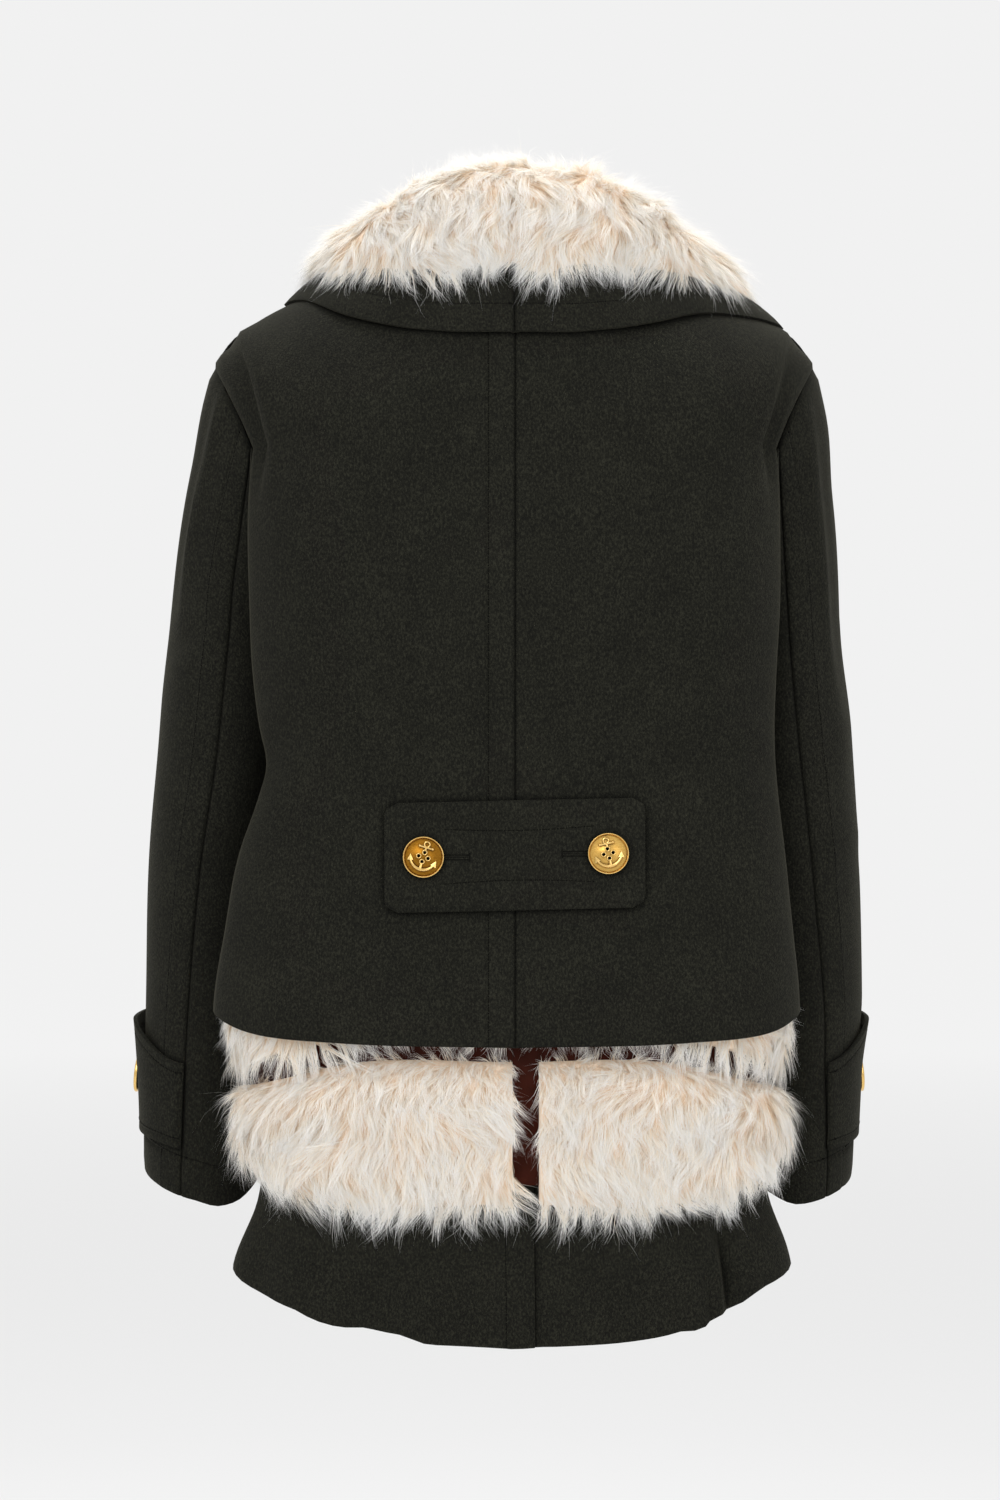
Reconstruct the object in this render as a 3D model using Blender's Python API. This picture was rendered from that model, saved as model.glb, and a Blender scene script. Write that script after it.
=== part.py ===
# Wool coat seen from behind: a short outer layer, a longer skirt layer with two tiers of fur, and a fur collar
# Lengths are in millimetres here, and become metres where a mesh is made
# The back faces -Y, the front faces +Y, and the origin is between the shoulders at the base of the neck

import math

import bmesh
import bpy
import numpy as np
from mathutils import Vector

for startupItem in list(bpy.data.objects):
    bpy.data.objects.remove(startupItem)

wall = 2.6
gap = 0.3
armLevel = -110.0
shoulderX = 213.0
shoulderZ = -49.0
underarmX = 153.0
underarmZ = -172.0
backCornerY = -50.0
frontCornerY = 70.0
neckHalfWidth = 78.0
lapGap = 0.9
squareInset = 4.0
formHalfWidth = 195.0
formHalfDepth = 125.0
sideRound = 0.45  # the lower, the squarer the form's corners are seen from above
faceRound = 0.9
pinchMiddleY = 25.0
pinchHalfDepth = 62.0
neckBackY = -66.0
neckFrontY = 74.0
neckTopZ = 36.0
neckFrontDrop = 54.0
shoulderLineY = -3.0
sleeveHeadSwell = 5.0
sleeveTwist = 14.0
cuffTilt = 15.0

# Outer form by height: half width left and right, depth behind and in front, and how far the sleeves push it in
formTable = {
    "z": (-110, -172, -213, -274, -305, -334, -357, -392, -450, -505, -560, -600, -640, -690, -735),
    "left": (187, 188, 187, 184, 180, 175, 181, 192, 201, 209, 206, 201, 201, 215, 222),
    "right": (187, 187, 187, 184, 183, 184, 186, 190, 195, 200, 198, 197, 199, 211, 218),
    "back": (118, 121, 121, 117, 114, 112, 112, 114, 119, 124, 128, 129, 130, 133, 136),
    "front": (122, 127, 129, 126, 123, 121, 121, 123, 127, 131, 134, 134, 134, 136, 138),
    "pinch": (0.05, 0.23, 0.27, 0.26, 0.25, 0.23, 0.24, 0.25, 0.25, 0.25, 0.25, 0.24, 0.21, 0.15, 0.1),
}

# Lower edges by place round the body: 0 centre back, 1 back corner, 2 front corner, 3 centre front
hemTable = {
    "place": (0, 0.5, 0.8, 1, 1.5, 2, 3),
    "shell": (-526, -523, -517, -504, -498, -502, -508),
    "skirt": (-731, -722, -706, -690, -682, -690, -702),
    "stripDip": (0, 1, 16, 23, 23, 22, 20),
    "lowerFringe": (-655, -655, -642, -616, -612, -616, -620),
}

# Sleeve rings by height: how far out each one reaches, its width and depth, and where its middle is
sleeveTable = {
    "z": (-225, -315, -394, -502, -618, -641),
    "left": (248, 255, 262, 265, 266, 266),
    "right": (236, 242, 247, 250, 248, 247),
    "leftWidth": (92, 89, 86, 84, 82, 81),
    "rightWidth": (84, 84, 83, 81, 79, 79),
    "depth": (126, 122, 116, 110, 106, 105),
    "middle": (28, 31, 34, 38, 38, 38),
}

# Shoulder line by distance from the middle
shoulderTable = {
    "x": (78, 120, 161, 185, 203, 213),
    "z": (36, 15, -5, -18, -32, -49),
}

# Collar by angle round the neck from the centre back: its fold, and its outer edge on the body
collarTable = {
    "angle": (0, 30, 50, 65, 80, 90, 105, 125, 150),
    "foldOut": (8, 8, 8, 7, 5, 4, 5, 8, 10),
    "foldZ": (73, 70, 62, 54, 46, 43, 40, 32, 16),
    "edgeX": (0, 55, 100, 135, 163, 178, 166, 140, 85),
    "edgeZ": (-35, -34, -28, -18, -13, -14, -15, -35, -62),
}


# Smooth reading of a table between its rows
def smoothRead(table, across, column, value):
    xs = np.array(table[across], float)
    ys = np.array(table[column], float)
    if xs[0] > xs[-1]:
        xs = xs[::-1]
        ys = ys[::-1]
    slopes = np.gradient(ys, xs)
    value = min(max(value, xs[0]), xs[-1])
    place = min(int(np.searchsorted(xs, value, "right")) - 1, len(xs) - 2)
    width = xs[place + 1] - xs[place]
    t = (value - xs[place]) / width
    startWeight = (1 + 2 * t) * (1 - t) ** 2
    endWeight = t * t * (3 - 2 * t)
    startSlope = t * (1 - t) ** 2 * width
    endSlope = t * t * (t - 1) * width
    whole = startWeight * ys[place] + endWeight * ys[place + 1]
    return whole + startSlope * slopes[place] + endSlope * slopes[place + 1]


def smoothStep(low, high, value):
    t = min(max((value - low) / (high - low), 0.0), 1.0)
    return t * t * (3 - 2 * t)


def unit(vector):
    return vector / np.linalg.norm(vector)


sectionStore = {}


# Half of the form at one height, from centre back to centre front, with its place numbers
def section(side, z):
    key = (side, round(z, 3))
    if key not in sectionStore:
        steps = np.linspace(0, math.pi, 241)
        angle = (0.5 - 0.5 * np.cos(steps)) * math.pi
        forward = -np.cos(angle)
        back = smoothRead(formTable, "z", "back", z)
        front = smoothRead(formTable, "z", "front", z)
        y = np.sign(forward) * np.abs(forward) ** faceRound * np.where(forward < 0, back, front)
        pinch = smoothRead(formTable, "z", "pinch", z)
        pinched = 1 - pinch * np.exp(-(((y - pinchMiddleY) / pinchHalfDepth) ** 4))
        shape = np.clip(np.sin(angle), 0, 1) ** sideRound * pinched
        halfWidth = smoothRead(formTable, "z", "right" if side > 0 else "left", z)
        x = halfWidth * shape / shape.max()
        length = np.concatenate([[0], np.cumsum(np.hypot(np.diff(x), np.diff(y)))])
        backCorner = np.interp(backCornerY, y, length)
        frontCorner = np.interp(frontCornerY, y, length)
        place = np.interp(length, [0, backCorner, frontCorner, length[-1]], [0, 1, 2, 3])
        sectionStore[key] = (x, y, place)
    return sectionStore[key]


# Point of the form on one side at a place round the body and a height; places past a centre line cross over
def formPoint(side, place, z):
    if place < 0:
        return formPoint(-side, -place, z)
    if place > 3:
        return formPoint(-side, 6 - place, z)
    x, y, places = section(side, z)
    return np.array([side * np.interp(place, places, x), np.interp(place, places, y), z])


def formNormal(side, place, z):
    along = formPoint(side, place + 0.01, z) - formPoint(side, place - 0.01, z)
    up = formPoint(side, place, z + 2) - formPoint(side, place, z - 2)
    return unit(np.cross(along, up)) * side


# Point further in than the form: first square to it, then by drawing the whole ring in, which keeps corners round
def formInset(side, place, z, inset):
    square = min(inset, squareInset)
    point = formPoint(side, place, z) - formNormal(side, place, z) * square
    drawn = inset - square
    return point * np.array([1 - drawn / formHalfWidth, 1 - drawn / formHalfDepth, 1])


# Place number of a point of the back or the front at a given x, where x may be past the centre line
def placeAt(side, x, z, front=False):
    xs, ys, places = section(side if x * side >= 0 else -side, z)
    middle = len(xs) // 2
    if front:
        place = np.interp(abs(x), xs[middle:][::-1], places[middle:][::-1])
        return place if x * side >= 0 else 6 - place
    place = np.interp(abs(x), xs[:middle], places[:middle])
    return place if x * side >= 0 else -place


def hemZ(name, place):
    if place > 3:
        place = 6 - place
    return smoothRead(hemTable, "place", name, abs(place))


# Neckline and shoulder line at a distance from the middle
def topPoint(x, facing):
    away = abs(x)
    if away < neckHalfWidth:
        lean = math.sqrt(1 - (away / neckHalfWidth) ** 2)
        if facing < 0:
            return np.array([x, shoulderLineY + (neckBackY - shoulderLineY) * lean, neckTopZ - lean])
        forward = shoulderLineY + (neckFrontY - shoulderLineY) * lean
        return np.array([x, forward, neckTopZ - neckFrontDrop * lean**1.3])
    outward = (away - neckHalfWidth) / (shoulderX - neckHalfWidth)
    return np.array([x, shoulderLineY * (1 - outward), smoothRead(shoulderTable, "x", "z", away)])


# Point of the outer layer above the arm level, where rise goes from 0 to 1 at the shoulder line
def upperPoint(side, place, rise):
    low = formPoint(side, place, armLevel)
    facing = 1 if place > 1.5 else -1
    corner = abs(formPoint(side, 2 if facing > 0 else 1, armLevel)[0])
    top = topPoint(low[0] * shoulderX / corner, facing)
    lift = math.sin(rise * math.pi / 2)
    lean = 1 - math.cos(rise * math.pi / 2)
    return np.array(
        [
            low[0] + (top[0] - low[0]) * lift,
            low[1] + (top[1] - low[1]) * lean,
            low[2] + (top[2] - low[2]) * lift,
        ]
    )


# Armhole seam by angle: 0 shoulder, 90 back, 180 underarm, 270 front
def armhole(side, degrees):
    angle = math.radians(degrees)
    outward = math.cos(angle)
    sideways = math.sin(angle)
    corner = formPoint(side, 1 if sideways >= 0 else 2, armLevel)
    cornerX = abs(corner[0])
    if outward > 0:
        x = cornerX + (shoulderX - cornerX) * outward
        y = corner[1] * abs(sideways)
        z = armLevel + (shoulderZ - armLevel) * outward
    else:
        middleY = (backCornerY + frontCornerY) / 2
        x = cornerX + (cornerX - underarmX) * outward
        y = middleY + (corner[1] - middleY) * abs(sideways)
        z = armLevel + (armLevel - underarmZ) * outward
    return np.array([side * x, y, z])


# Point of the outer layer: fall goes from 0 at the arm level or armhole to 1 at the hem
def lowerPoint(side, place, fall):
    if place <= 1 or place >= 2:
        z = armLevel + (hemZ("shell", place) - armLevel) * fall
        return formPoint(side, place, z)
    seam = armhole(side, 90 + 180 * (place - 1))
    z = seam[2] + (hemZ("shell", place) - seam[2]) * fall
    push = seam - formPoint(side, place, seam[2])
    return formPoint(side, place, z) + push * (1 - fall) ** 4


# Point of a sleeve: degrees as at the armhole; drop 0 to 1 is the head, 1 to 2 runs down to the cuff
def sleevePoint(side, degrees, drop):
    down = max(drop - 1, 0)
    top = sleeveTable["z"][0]
    z = top + (sleeveTable["z"][-1] - top) * down
    reach = smoothRead(sleeveTable, "z", "right" if side > 0 else "left", z)
    width = smoothRead(sleeveTable, "z", "rightWidth" if side > 0 else "leftWidth", z)
    depth = smoothRead(sleeveTable, "z", "depth", z)
    middle = smoothRead(sleeveTable, "z", "middle", z)
    angle = math.radians(degrees - sleeveTwist * smoothStep(0, 1, down))
    x = reach - width / 2 + width / 2 * math.cos(angle)
    y = middle - depth / 2 * math.sin(angle)
    ring = np.array([side * x, y, z - cuffTilt * down**2 * math.sin(angle)])
    if drop >= 1:
        return ring
    seam = armhole(side, degrees)
    swell = sleeveHeadSwell * math.sin(math.pi * drop) * max(math.cos(math.radians(degrees)), 0)
    return seam + (ring - seam) * drop + np.array([side * swell, 0, 0])


# Neck point, fold and outer edge of the collar at an angle from the centre back
def collarFrame(side, degrees):
    angle = math.radians(degrees)
    facing = 1 if degrees > 90 else -1
    neck = topPoint(side * neckHalfWidth * math.sin(angle) * 0.9999, facing)
    neck[2] += 5 * smoothStep(78, 108, degrees)
    outward = np.array([side * math.sin(angle), -math.cos(angle), 0])
    fold = neck + outward * smoothRead(collarTable, "angle", "foldOut", degrees)
    fold[2] = smoothRead(collarTable, "angle", "foldZ", degrees)
    edgeX = smoothRead(collarTable, "angle", "edgeX", degrees)
    edgeZ = smoothRead(collarTable, "angle", "edgeZ", degrees)
    corner = abs(formPoint(side, 2 if facing > 0 else 1, armLevel)[0])
    place = placeAt(side, side * edgeX * corner / shoulderX, armLevel, facing > 0)
    share = (edgeZ - armLevel) / (topPoint(edgeX, facing)[2] - armLevel)
    rise = math.asin(min(share, 1.0)) / (math.pi / 2)
    surface = upperPoint(side, place, rise)
    across = upperPoint(side, place + 0.02, rise) - upperPoint(side, place - 0.02, rise)
    upward = upperPoint(side, place, rise) - upperPoint(side, place, rise - 0.03)
    normal = unit(np.cross(across, upward)) * side
    return neck, fold, surface + normal * (wall + 2.2)


# Point of the collar's top surface: -1 neck seam, 0 fold, 1 outer edge
def collarPoint(side, degrees, reach):
    neck, fold, edge = collarFrame(side, degrees)
    if reach < 0:
        t = 1 + reach
        bend = (neck + fold) / 2
        bend[2] += 6
        return neck * (1 - t) ** 2 + bend * 2 * t * (1 - t) + fold * t * t
    t = reach
    bend = fold + (edge - fold) * 0.45
    bend[2] = fold[2] - 0.03 * (fold[2] - edge[2])
    return fold * (1 - t) ** 2 + bend * 2 * t * (1 - t) + edge * t * t


# Lists of places used by every layer, so that the facets of stacked layers stay parallel
topColumns = (0, 22, 45, 64, 78, 102, 132, 162, 188, 205, 213)
layerColumns = (0, 45, 78, 102, 132, 162, 188, 205, 213)
rowCount = 11
armSteps = 4
armDegrees = [90 * step / armSteps for step in range(armSteps + 1)]


def columnPlaces(side, facing, columns=topColumns):
    corner = abs(formPoint(side, 2 if facing > 0 else 1, armLevel)[0])
    places = [placeAt(side, side * x * corner / shoulderX, armLevel, facing > 0) for x in columns]
    places[-1] = 2 if facing > 0 else 1
    return places


def gridOf(rows, columns, pointAt):
    return np.array([[pointAt(row, column) for column in columns] for row in rows])


def gridNormals(grid):
    across = np.gradient(grid, axis=1)
    upward = np.gradient(grid, axis=0)
    normals = np.cross(across, upward)
    lengths = np.linalg.norm(normals, axis=2, keepdims=True)
    return normals / np.maximum(lengths, 1e-9)


# Outward is away from the middle line of the piece's own hollow
def facingOut(grid, normals, middle):
    away = grid - middle
    return normals if (normals * away).sum() > 0 else -normals


def pulledIn(grid, amount):
    moved = grid.copy()
    for axis in (0, 1):
        turned = np.moveaxis(grid, axis, 0)
        target = np.moveaxis(moved, axis, 0)
        first = turned[1] - turned[0]
        last = turned[-2] - turned[-1]
        target[0] += first / np.maximum(np.linalg.norm(first, axis=1, keepdims=True), 1e-9) * amount
        target[-1] += last / np.maximum(np.linalg.norm(last, axis=1, keepdims=True), 1e-9) * amount
    return moved


# Materials by the first words of a piece's name: colour as in the photo, roughness and metal
materialTable = {
    "kind": ("wool", "fur", "leather", "brass"),
    "red": (0.0185, 0.84, 0.042, 0.72),
    "green": (0.0185, 0.76, 0.0105, 0.5),
    "blue": (0.0145, 0.66, 0.0085, 0.2),
    "roughness": (0.95, 0.9, 0.45, 0.25),
    "metallic": (0, 0, 0, 1),
}
materials = {}
for index, kind in enumerate(materialTable["kind"]):
    made = bpy.data.materials.new(kind)
    made.use_nodes = True
    shader = made.node_tree.nodes["Principled BSDF"]
    colour = [materialTable[channel][index] for channel in ("red", "green", "blue")]
    shader.inputs["Base Color"].default_value = (*colour, 1)
    shader.inputs["Roughness"].default_value = materialTable["roughness"][index]
    shader.inputs["Metallic"].default_value = materialTable["metallic"][index]
    made.diffuse_color = (*colour, 1)
    materials[kind] = made

coat = bpy.data.objects.new("coat", None)
bpy.context.scene.collection.objects.link(coat)


def kindOf(name):
    words = name.split("_")
    if "fur" in words:
        return "fur"
    if "strip" in words:
        return "leather"
    return "brass" if "button" in words else "wool"


def makeObject(name, points, faces):
    mesh = bpy.data.meshes.new(name)
    mesh.from_pydata([tuple(point / 1000) for point in points], [], faces)
    work = bmesh.new()
    work.from_mesh(mesh)
    bmesh.ops.remove_doubles(work, verts=work.verts, dist=1e-6)
    bmesh.ops.recalc_face_normals(work, faces=work.faces)
    work.to_mesh(mesh)
    work.free()
    mesh.materials.append(materials[kindOf(name)])
    mesh.shade_smooth()
    mesh.set_sharp_from_angle(angle=math.radians(40))
    made = bpy.data.objects.new(name, mesh)
    bpy.context.scene.collection.objects.link(made)
    made.parent = coat
    return made


# Closed slab between an outer and an inner grid of the same size
def makeSlab(name, outer, inner):
    rows, columns = outer.shape[:2]
    points = np.concatenate([outer.reshape(-1, 3), inner.reshape(-1, 3)])
    count = rows * columns
    faces = []
    for row in range(rows - 1):
        for column in range(columns - 1):
            a = row * columns + column
            for face in ((a, a + 1, a + columns + 1), (a, a + columns + 1, a + columns)):
                faces.append(face)
                faces.append(tuple(count + corner for corner in reversed(face)))
    border = [column for column in range(columns)]
    border += [row * columns + columns - 1 for row in range(1, rows)]
    border += [(rows - 1) * columns + column for column in range(columns - 2, -1, -1)]
    border += [row * columns for row in range(rows - 2, 0, -1)]
    for here, following in zip(border, border[1:] + border[:1]):
        faces.append((following, here, count + here, count + following))
    return makeObject(name, points, faces)


underarmEase = 0.8


# Cloth panels of one wall, whose seam points share one direction so that the walls meet at a mitre
panels = {}


def addPanel(name, grid, middle, lift=None):
    normals = facingOut(grid, gridNormals(grid), middle)
    panels[name] = {"grid": grid, "normals": normals, "lift": lift}


# Seam points are shared where body panels meet, where sleeve pieces meet, and round the armhole's upper half
def seamKey(name, point):
    kind = "armhole" if point[2] > armLevel + 1 else name.split("_")[0]
    return (kind, *np.round(point, 1))


def finishPanels():
    sums = {}
    for name, panel in panels.items():
        grid = panel["grid"]
        rows, columns = grid.shape[:2]
        for row in range(rows):
            for column in range(columns):
                if row in (0, rows - 1) or column in (0, columns - 1):
                    key = seamKey(name, grid[row, column])
                    sums.setdefault(key, []).append(panel["normals"][row, column])
    for name, panel in panels.items():
        grid = panel["grid"]
        normals = panel["normals"]
        inward = normals * wall
        rows, columns = grid.shape[:2]
        for row in range(rows):
            for column in range(columns):
                if row in (0, rows - 1) or column in (0, columns - 1):
                    key = seamKey(name, grid[row, column])
                    shared = unit(np.sum(sums[key], axis=0))
                    turn = max(float(np.mean([shared @ normal for normal in sums[key]])), 0.5)
                    inward[row, column] = shared * wall / turn
        outer = grid
        inner = grid - inward
        if panel["lift"] is not None:
            outer = outer + normals * panel["lift"][..., None]
            inner = inner + normals * panel["lift"][..., None]
        outer = pulledIn(outer, gap / 2)
        inner = pulledIn(inner, gap / 2)
        if "under" in name:
            for layer in (outer, inner):
                down = layer[1] - layer[0]
                layer[0] += down / np.linalg.norm(down, axis=1, keepdims=True) * underarmEase
        makeSlab(name, outer, inner)


# Outer layer: back, side and front panels, the right front lapping over the left one
falls = [row / rowCount for row in range(rowCount, -1, -1)]
rises = [step / armSteps for step in range(1, armSteps + 1)]
shellMiddle = np.array([0.0, 0.0, -300.0])
lapReach = 35.0


def shellPoint(side, place, row):
    return upperPoint(side, place, row) if row > 0 else lowerPoint(side, place, -row)


shellRows = [-fall for fall in falls] + rises
for side, sideName in ((-1, "left"), (1, "right")):
    backPlaces = columnPlaces(side, -1)
    frontPlaces = columnPlaces(side, 1)
    lapPlaces = [placeAt(side, -side * x, armLevel, True) for x in (lapReach, lapReach / 2)]
    sidePlaces = [1 + step / (2 * armSteps) for step in range(2 * armSteps + 1)]
    backGrid = gridOf(shellRows, backPlaces, lambda row, place: shellPoint(side, place, row))
    addPanel(f"shell_back_{sideName}", backGrid, shellMiddle)
    sideGrid = gridOf(falls, sidePlaces, lambda fall, place: lowerPoint(side, place, fall))
    addPanel(f"shell_side_{sideName}", sideGrid, shellMiddle)
    frontGrid = gridOf(shellRows, lapPlaces + frontPlaces, lambda row, place: shellPoint(side, place, row))
    raised = np.zeros(frontGrid.shape[:2])
    if side > 0:
        for row in range(raised.shape[0]):
            for column in range(raised.shape[1]):
                raised[row, column] = (wall + lapGap) * (1 - smoothStep(50, 75, frontGrid[row, column][0]))
    addPanel(f"shell_front_{sideName}", frontGrid, shellMiddle, raised)

# Sleeves: an upper and an under piece, with the elbow seam at the back
sleeveDrops = [0, 0.12, 0.3, 0.5, 0.75, 1] + [1 + step / 9 for step in range(1, 10)]
turnStep = 90 / armSteps
for side, sideName in ((-1, "left"), (1, "right")):
    upperTurns = [-112.5 + turnStep * step for step in range(10)]
    underTurns = [90 + turnStep * step for step in range(8)]
    sleeveMiddle = np.array([side * 205.0, 30.0, -400.0])
    for pieceName, turns in (("upper", upperTurns), ("under", underTurns)):
        grid = gridOf(sleeveDrops, turns, lambda drop, turn: sleevePoint(side, turn % 360, drop))
        addPanel(f"sleeve_{pieceName}_{sideName}", grid, sleeveMiddle)

finishPanels()

# Skirt layer: it hangs inside the outer layer from the waist and comes out below its hem
skirtTopRow = 7
skirtTop = armLevel + (hemZ("shell", 0) - armLevel) * skirtTopRow / rowCount
skirtDepth = 20.0


# Folds that run down the skirt layer and are deepest at its hem: a ridge's height is above 0, a trough's below
foldTable = {
    "side": (-1, -1, -1, -1, -1, -1, -1, 1, 1, 1, 1, 1, 1, 1),
    "place": (0.42, 0.53, 0.8, 1.25, 1.62, 2.32, 2.45, 0.55, 0.655, 0.9, 1.38, 1.75, 2.3, 2.45),
    "height": (3.0, -5.0, -3.5, 4.0, -4.0, 3.5, -3.5, 4.0, -7.0, 3.0, -4.0, 4.0, 3.0, -3.5),
    "width": (14, 13, 17, 16, 15, 20, 18, 12, 11, 19, 16, 15, 19, 18),
}
foldStartZ = -600.0
foldFullZ = -720.0
lengthRound = ((0, 1, 2, 3), (0, 230, 350, 590))


def foldOut(side, place, z):
    if place < 0:
        return foldOut(-side, -place, z)
    if place > 3:
        return foldOut(-side, 6 - place, z)
    here = np.interp(place, *lengthRound)
    total = 0.0
    for foldSide, foldPlace, height, width in zip(*foldTable.values()):
        if foldSide == side:
            away = here - np.interp(foldPlace, *lengthRound)
            total += height * math.exp(-((away / width) ** 2))
    return total * smoothStep(foldStartZ, foldFullZ, z)


def skirtInset(side, place, z):
    closeness = min(max((skirtTop - z) / (skirtTop - hemZ("shell", 0)), 0.0), 1.0)
    return wall + 2 * gap + skirtDepth * closeness - foldOut(side, place, z)


# Heights shared by the skirt and all that lies on it, from its hidden top to its hem
def layerZ(place, level):
    if level <= tierTopLevel:
        row = skirtTopRow + level
        return armLevel + (hemZ("shell", place) - armLevel) * row / rowCount
    stripTop = stripTopZ - hemZ("stripDip", place)
    stripBottom = stripTop - stripHeight
    if level <= stripTopLevel:
        top = layerZ(place, tierTopLevel)
        return top + (stripTop - top) * upperTierDrops[level - tierTopLevel]
    if level <= fringeLevel:
        return stripBottom + (hemZ("lowerFringe", place) - stripBottom) * lowerTierDrops[level - stripTopLevel - 1]
    fringe = hemZ("lowerFringe", place)
    return fringe + (hemZ("skirt", place) - fringe) * (level - fringeLevel) / 2


# How far in from the form the fur's outer face is, down each tier from its top to its fringe
upperTierInset = {"drop": (0, 0.35, 0.75, 1), "inset": (9.0, 3.8, 3.8, 7.0)}
lowerTierInset = {"drop": (0, 0.2, 0.5, 0.82, 1), "inset": (12.0, 4.0, 1.5, 2.5, 11.0)}
upperTierDrops = upperTierInset["drop"]
lowerTierDrops = lowerTierInset["drop"]
tierTopLevel = 2
stripTopLevel = tierTopLevel + len(upperTierDrops) - 1
fringeLevel = stripTopLevel + len(lowerTierDrops)
skirtHemLevel = fringeLevel + 2
stripTopZ = -519.0
stripHeight = 18.0
skirtRows = list(range(skirtHemLevel + 1))


def layerSlab(name, side, places, rows, rowZ, insetOut, insetIn):
    def outerPoint(row, place):
        z = rowZ(place, row)
        return formInset(side, place, z, insetOut(side, place, z, row))

    def innerPoint(row, place):
        z = rowZ(place, row)
        return formInset(side, place, z, insetIn(side, place, z, row))

    outer = pulledIn(gridOf(rows, places, outerPoint), gap / 2)
    inner = pulledIn(gridOf(rows, places, innerPoint), gap / 2)
    return makeSlab(name, outer, inner)


ventReach = 13.0
ventUnder = 22.0
for side, sideName in ((-1, "left"), (1, "right")):
    sidePlaces = [1 + step / (2 * armSteps) for step in range(1, armSteps + 1)]
    backPlaces = columnPlaces(side, -1, layerColumns)
    frontPlaces = columnPlaces(side, 1, layerColumns)
    if side < 0:
        backPlaces = [placeAt(side, ventReach, armLevel)] + backPlaces
    else:
        under = [placeAt(side, x, armLevel) for x in (-ventUnder, -5, ventReach, 27)]
        backPlaces = under + backPlaces[1:]

    def backInset(side, place, z, row):
        x = formPoint(1, place, z)[0]
        tuck = (wall + gap) * (1 - smoothStep(ventReach + 3, 36, x)) if side > 0 else 0.0
        return skirtInset(side, place, z) + tuck

    layerSlab(
        f"skirt_back_{sideName}",
        side,
        backPlaces + sidePlaces,
        skirtRows,
        layerZ,
        backInset,
        lambda side, place, z, row: backInset(side, place, z, row) + wall,
    )
    lapPlaces = [placeAt(side, -side * x, armLevel, True) for x in (lapReach, lapReach / 2)]

    def frontInset(side, place, z, row):
        x = formPoint(-1, place, z)[0]
        tuck = (wall + lapGap) * smoothStep(-75, -50, x) if side < 0 else 0.0
        return skirtInset(side, place, z) + tuck

    layerSlab(
        f"skirt_front_{sideName}",
        side,
        lapPlaces + frontPlaces + [2 - step / (2 * armSteps) for step in range(1, armSteps + 1)],
        skirtRows,
        layerZ,
        frontInset,
        lambda side, place, z, row: frontInset(side, place, z, row) + wall,
    )

# Leather strips and fur tiers on the skirt layer, on both sides of a strip down the centre back
stripLeft = -2.0
stripRight = 18.0
stripThick = 1.5
layerGap = 0.5
centreStripBottom = -622.0


def lump(place, z):
    return math.sin(place * 19 + z * 0.05) * math.cos(place * 7 - z * 0.11)


def upperTierOut(side, place, z, level):
    return upperTierInset["inset"][level - tierTopLevel] + 0.5 + 0.5 * lump(place, z)


def lowerTierOut(side, place, z, level):
    return lowerTierInset["inset"][level - stripTopLevel - 1] + 1.2 * lump(place, z)


def onSkirt(side, place, z, row):
    return skirtInset(side, place, z) - layerGap


def stripOut(side, place, z, row):
    return skirtInset(side, place, z) - layerGap - stripThick


for side, sideName in ((-1, "left"), (1, "right")):
    stripEdge = placeAt(side, stripLeft if side < 0 else stripRight, -580)
    places = [place for place in columnPlaces(side, -1, layerColumns) if place > stripEdge + 0.02]
    sidePlaces = [1 + step / (2 * armSteps) for step in range(1, armSteps + 1)]
    backPlaces = [stripEdge] + places + sidePlaces
    frontEdge = placeAt(side, side * 50, -580, True)
    frontPlaces = [place for place in columnPlaces(side, 1, layerColumns) if place < frontEdge - 0.02]
    sideFront = [2 - step / (2 * armSteps) for step in range(1, armSteps + 1)]
    frontPlaces = [frontEdge] + frontPlaces + sideFront
    for areaName, area in (("back", backPlaces), ("front", frontPlaces)):
        upperLevels = range(tierTopLevel, stripTopLevel + 1)
        lowerLevels = range(stripTopLevel + 1, fringeLevel + 1)
        stripLevels = (stripTopLevel, stripTopLevel + 1)
        layerSlab(f"fur_upper_{areaName}_{sideName}", side, area, upperLevels, layerZ, upperTierOut, onSkirt)
        layerSlab(f"strip_{areaName}_{sideName}", side, area, stripLevels, layerZ, stripOut, onSkirt)
        layerSlab(f"fur_lower_{areaName}_{sideName}", side, area, lowerLevels, layerZ, lowerTierOut, onSkirt)

centrePlaces = [placeAt(1, x, -580) for x in (stripLeft, 5, 12, stripRight)]
layerSlab(
    "strip_centre",
    1,
    centrePlaces,
    (0, 0.2, 0.6, 1),
    lambda place, row: stripTopZ + (centreStripBottom - stripTopZ) * row,
    stripOut,
    onSkirt,
)


# Half belt across the back waist, with rounded corners, lying on both back panels
tabHalf = 89.5
tabTop = -356.5
tabBottom = -432.5
tabRound = 9.0
tabThick = 3.0
tabLift = 0.9
tabTilt = 4.0 / 179.0


def tabSurface(x, z, out):
    side = 1 if x >= 0 else -1
    place = placeAt(side, x, z)
    return formInset(side, place, z, -out)


def tabPoint(share, drop, out):
    z = tabTop + (tabBottom - tabTop) * drop
    nearEnd = max(tabRound - min(tabTop - z, z - tabBottom), 0.0)
    half = tabHalf - (tabRound - math.sqrt(tabRound**2 - nearEnd**2))
    x = half * share
    return tabSurface(x, z + x * tabTilt, out)


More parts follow.
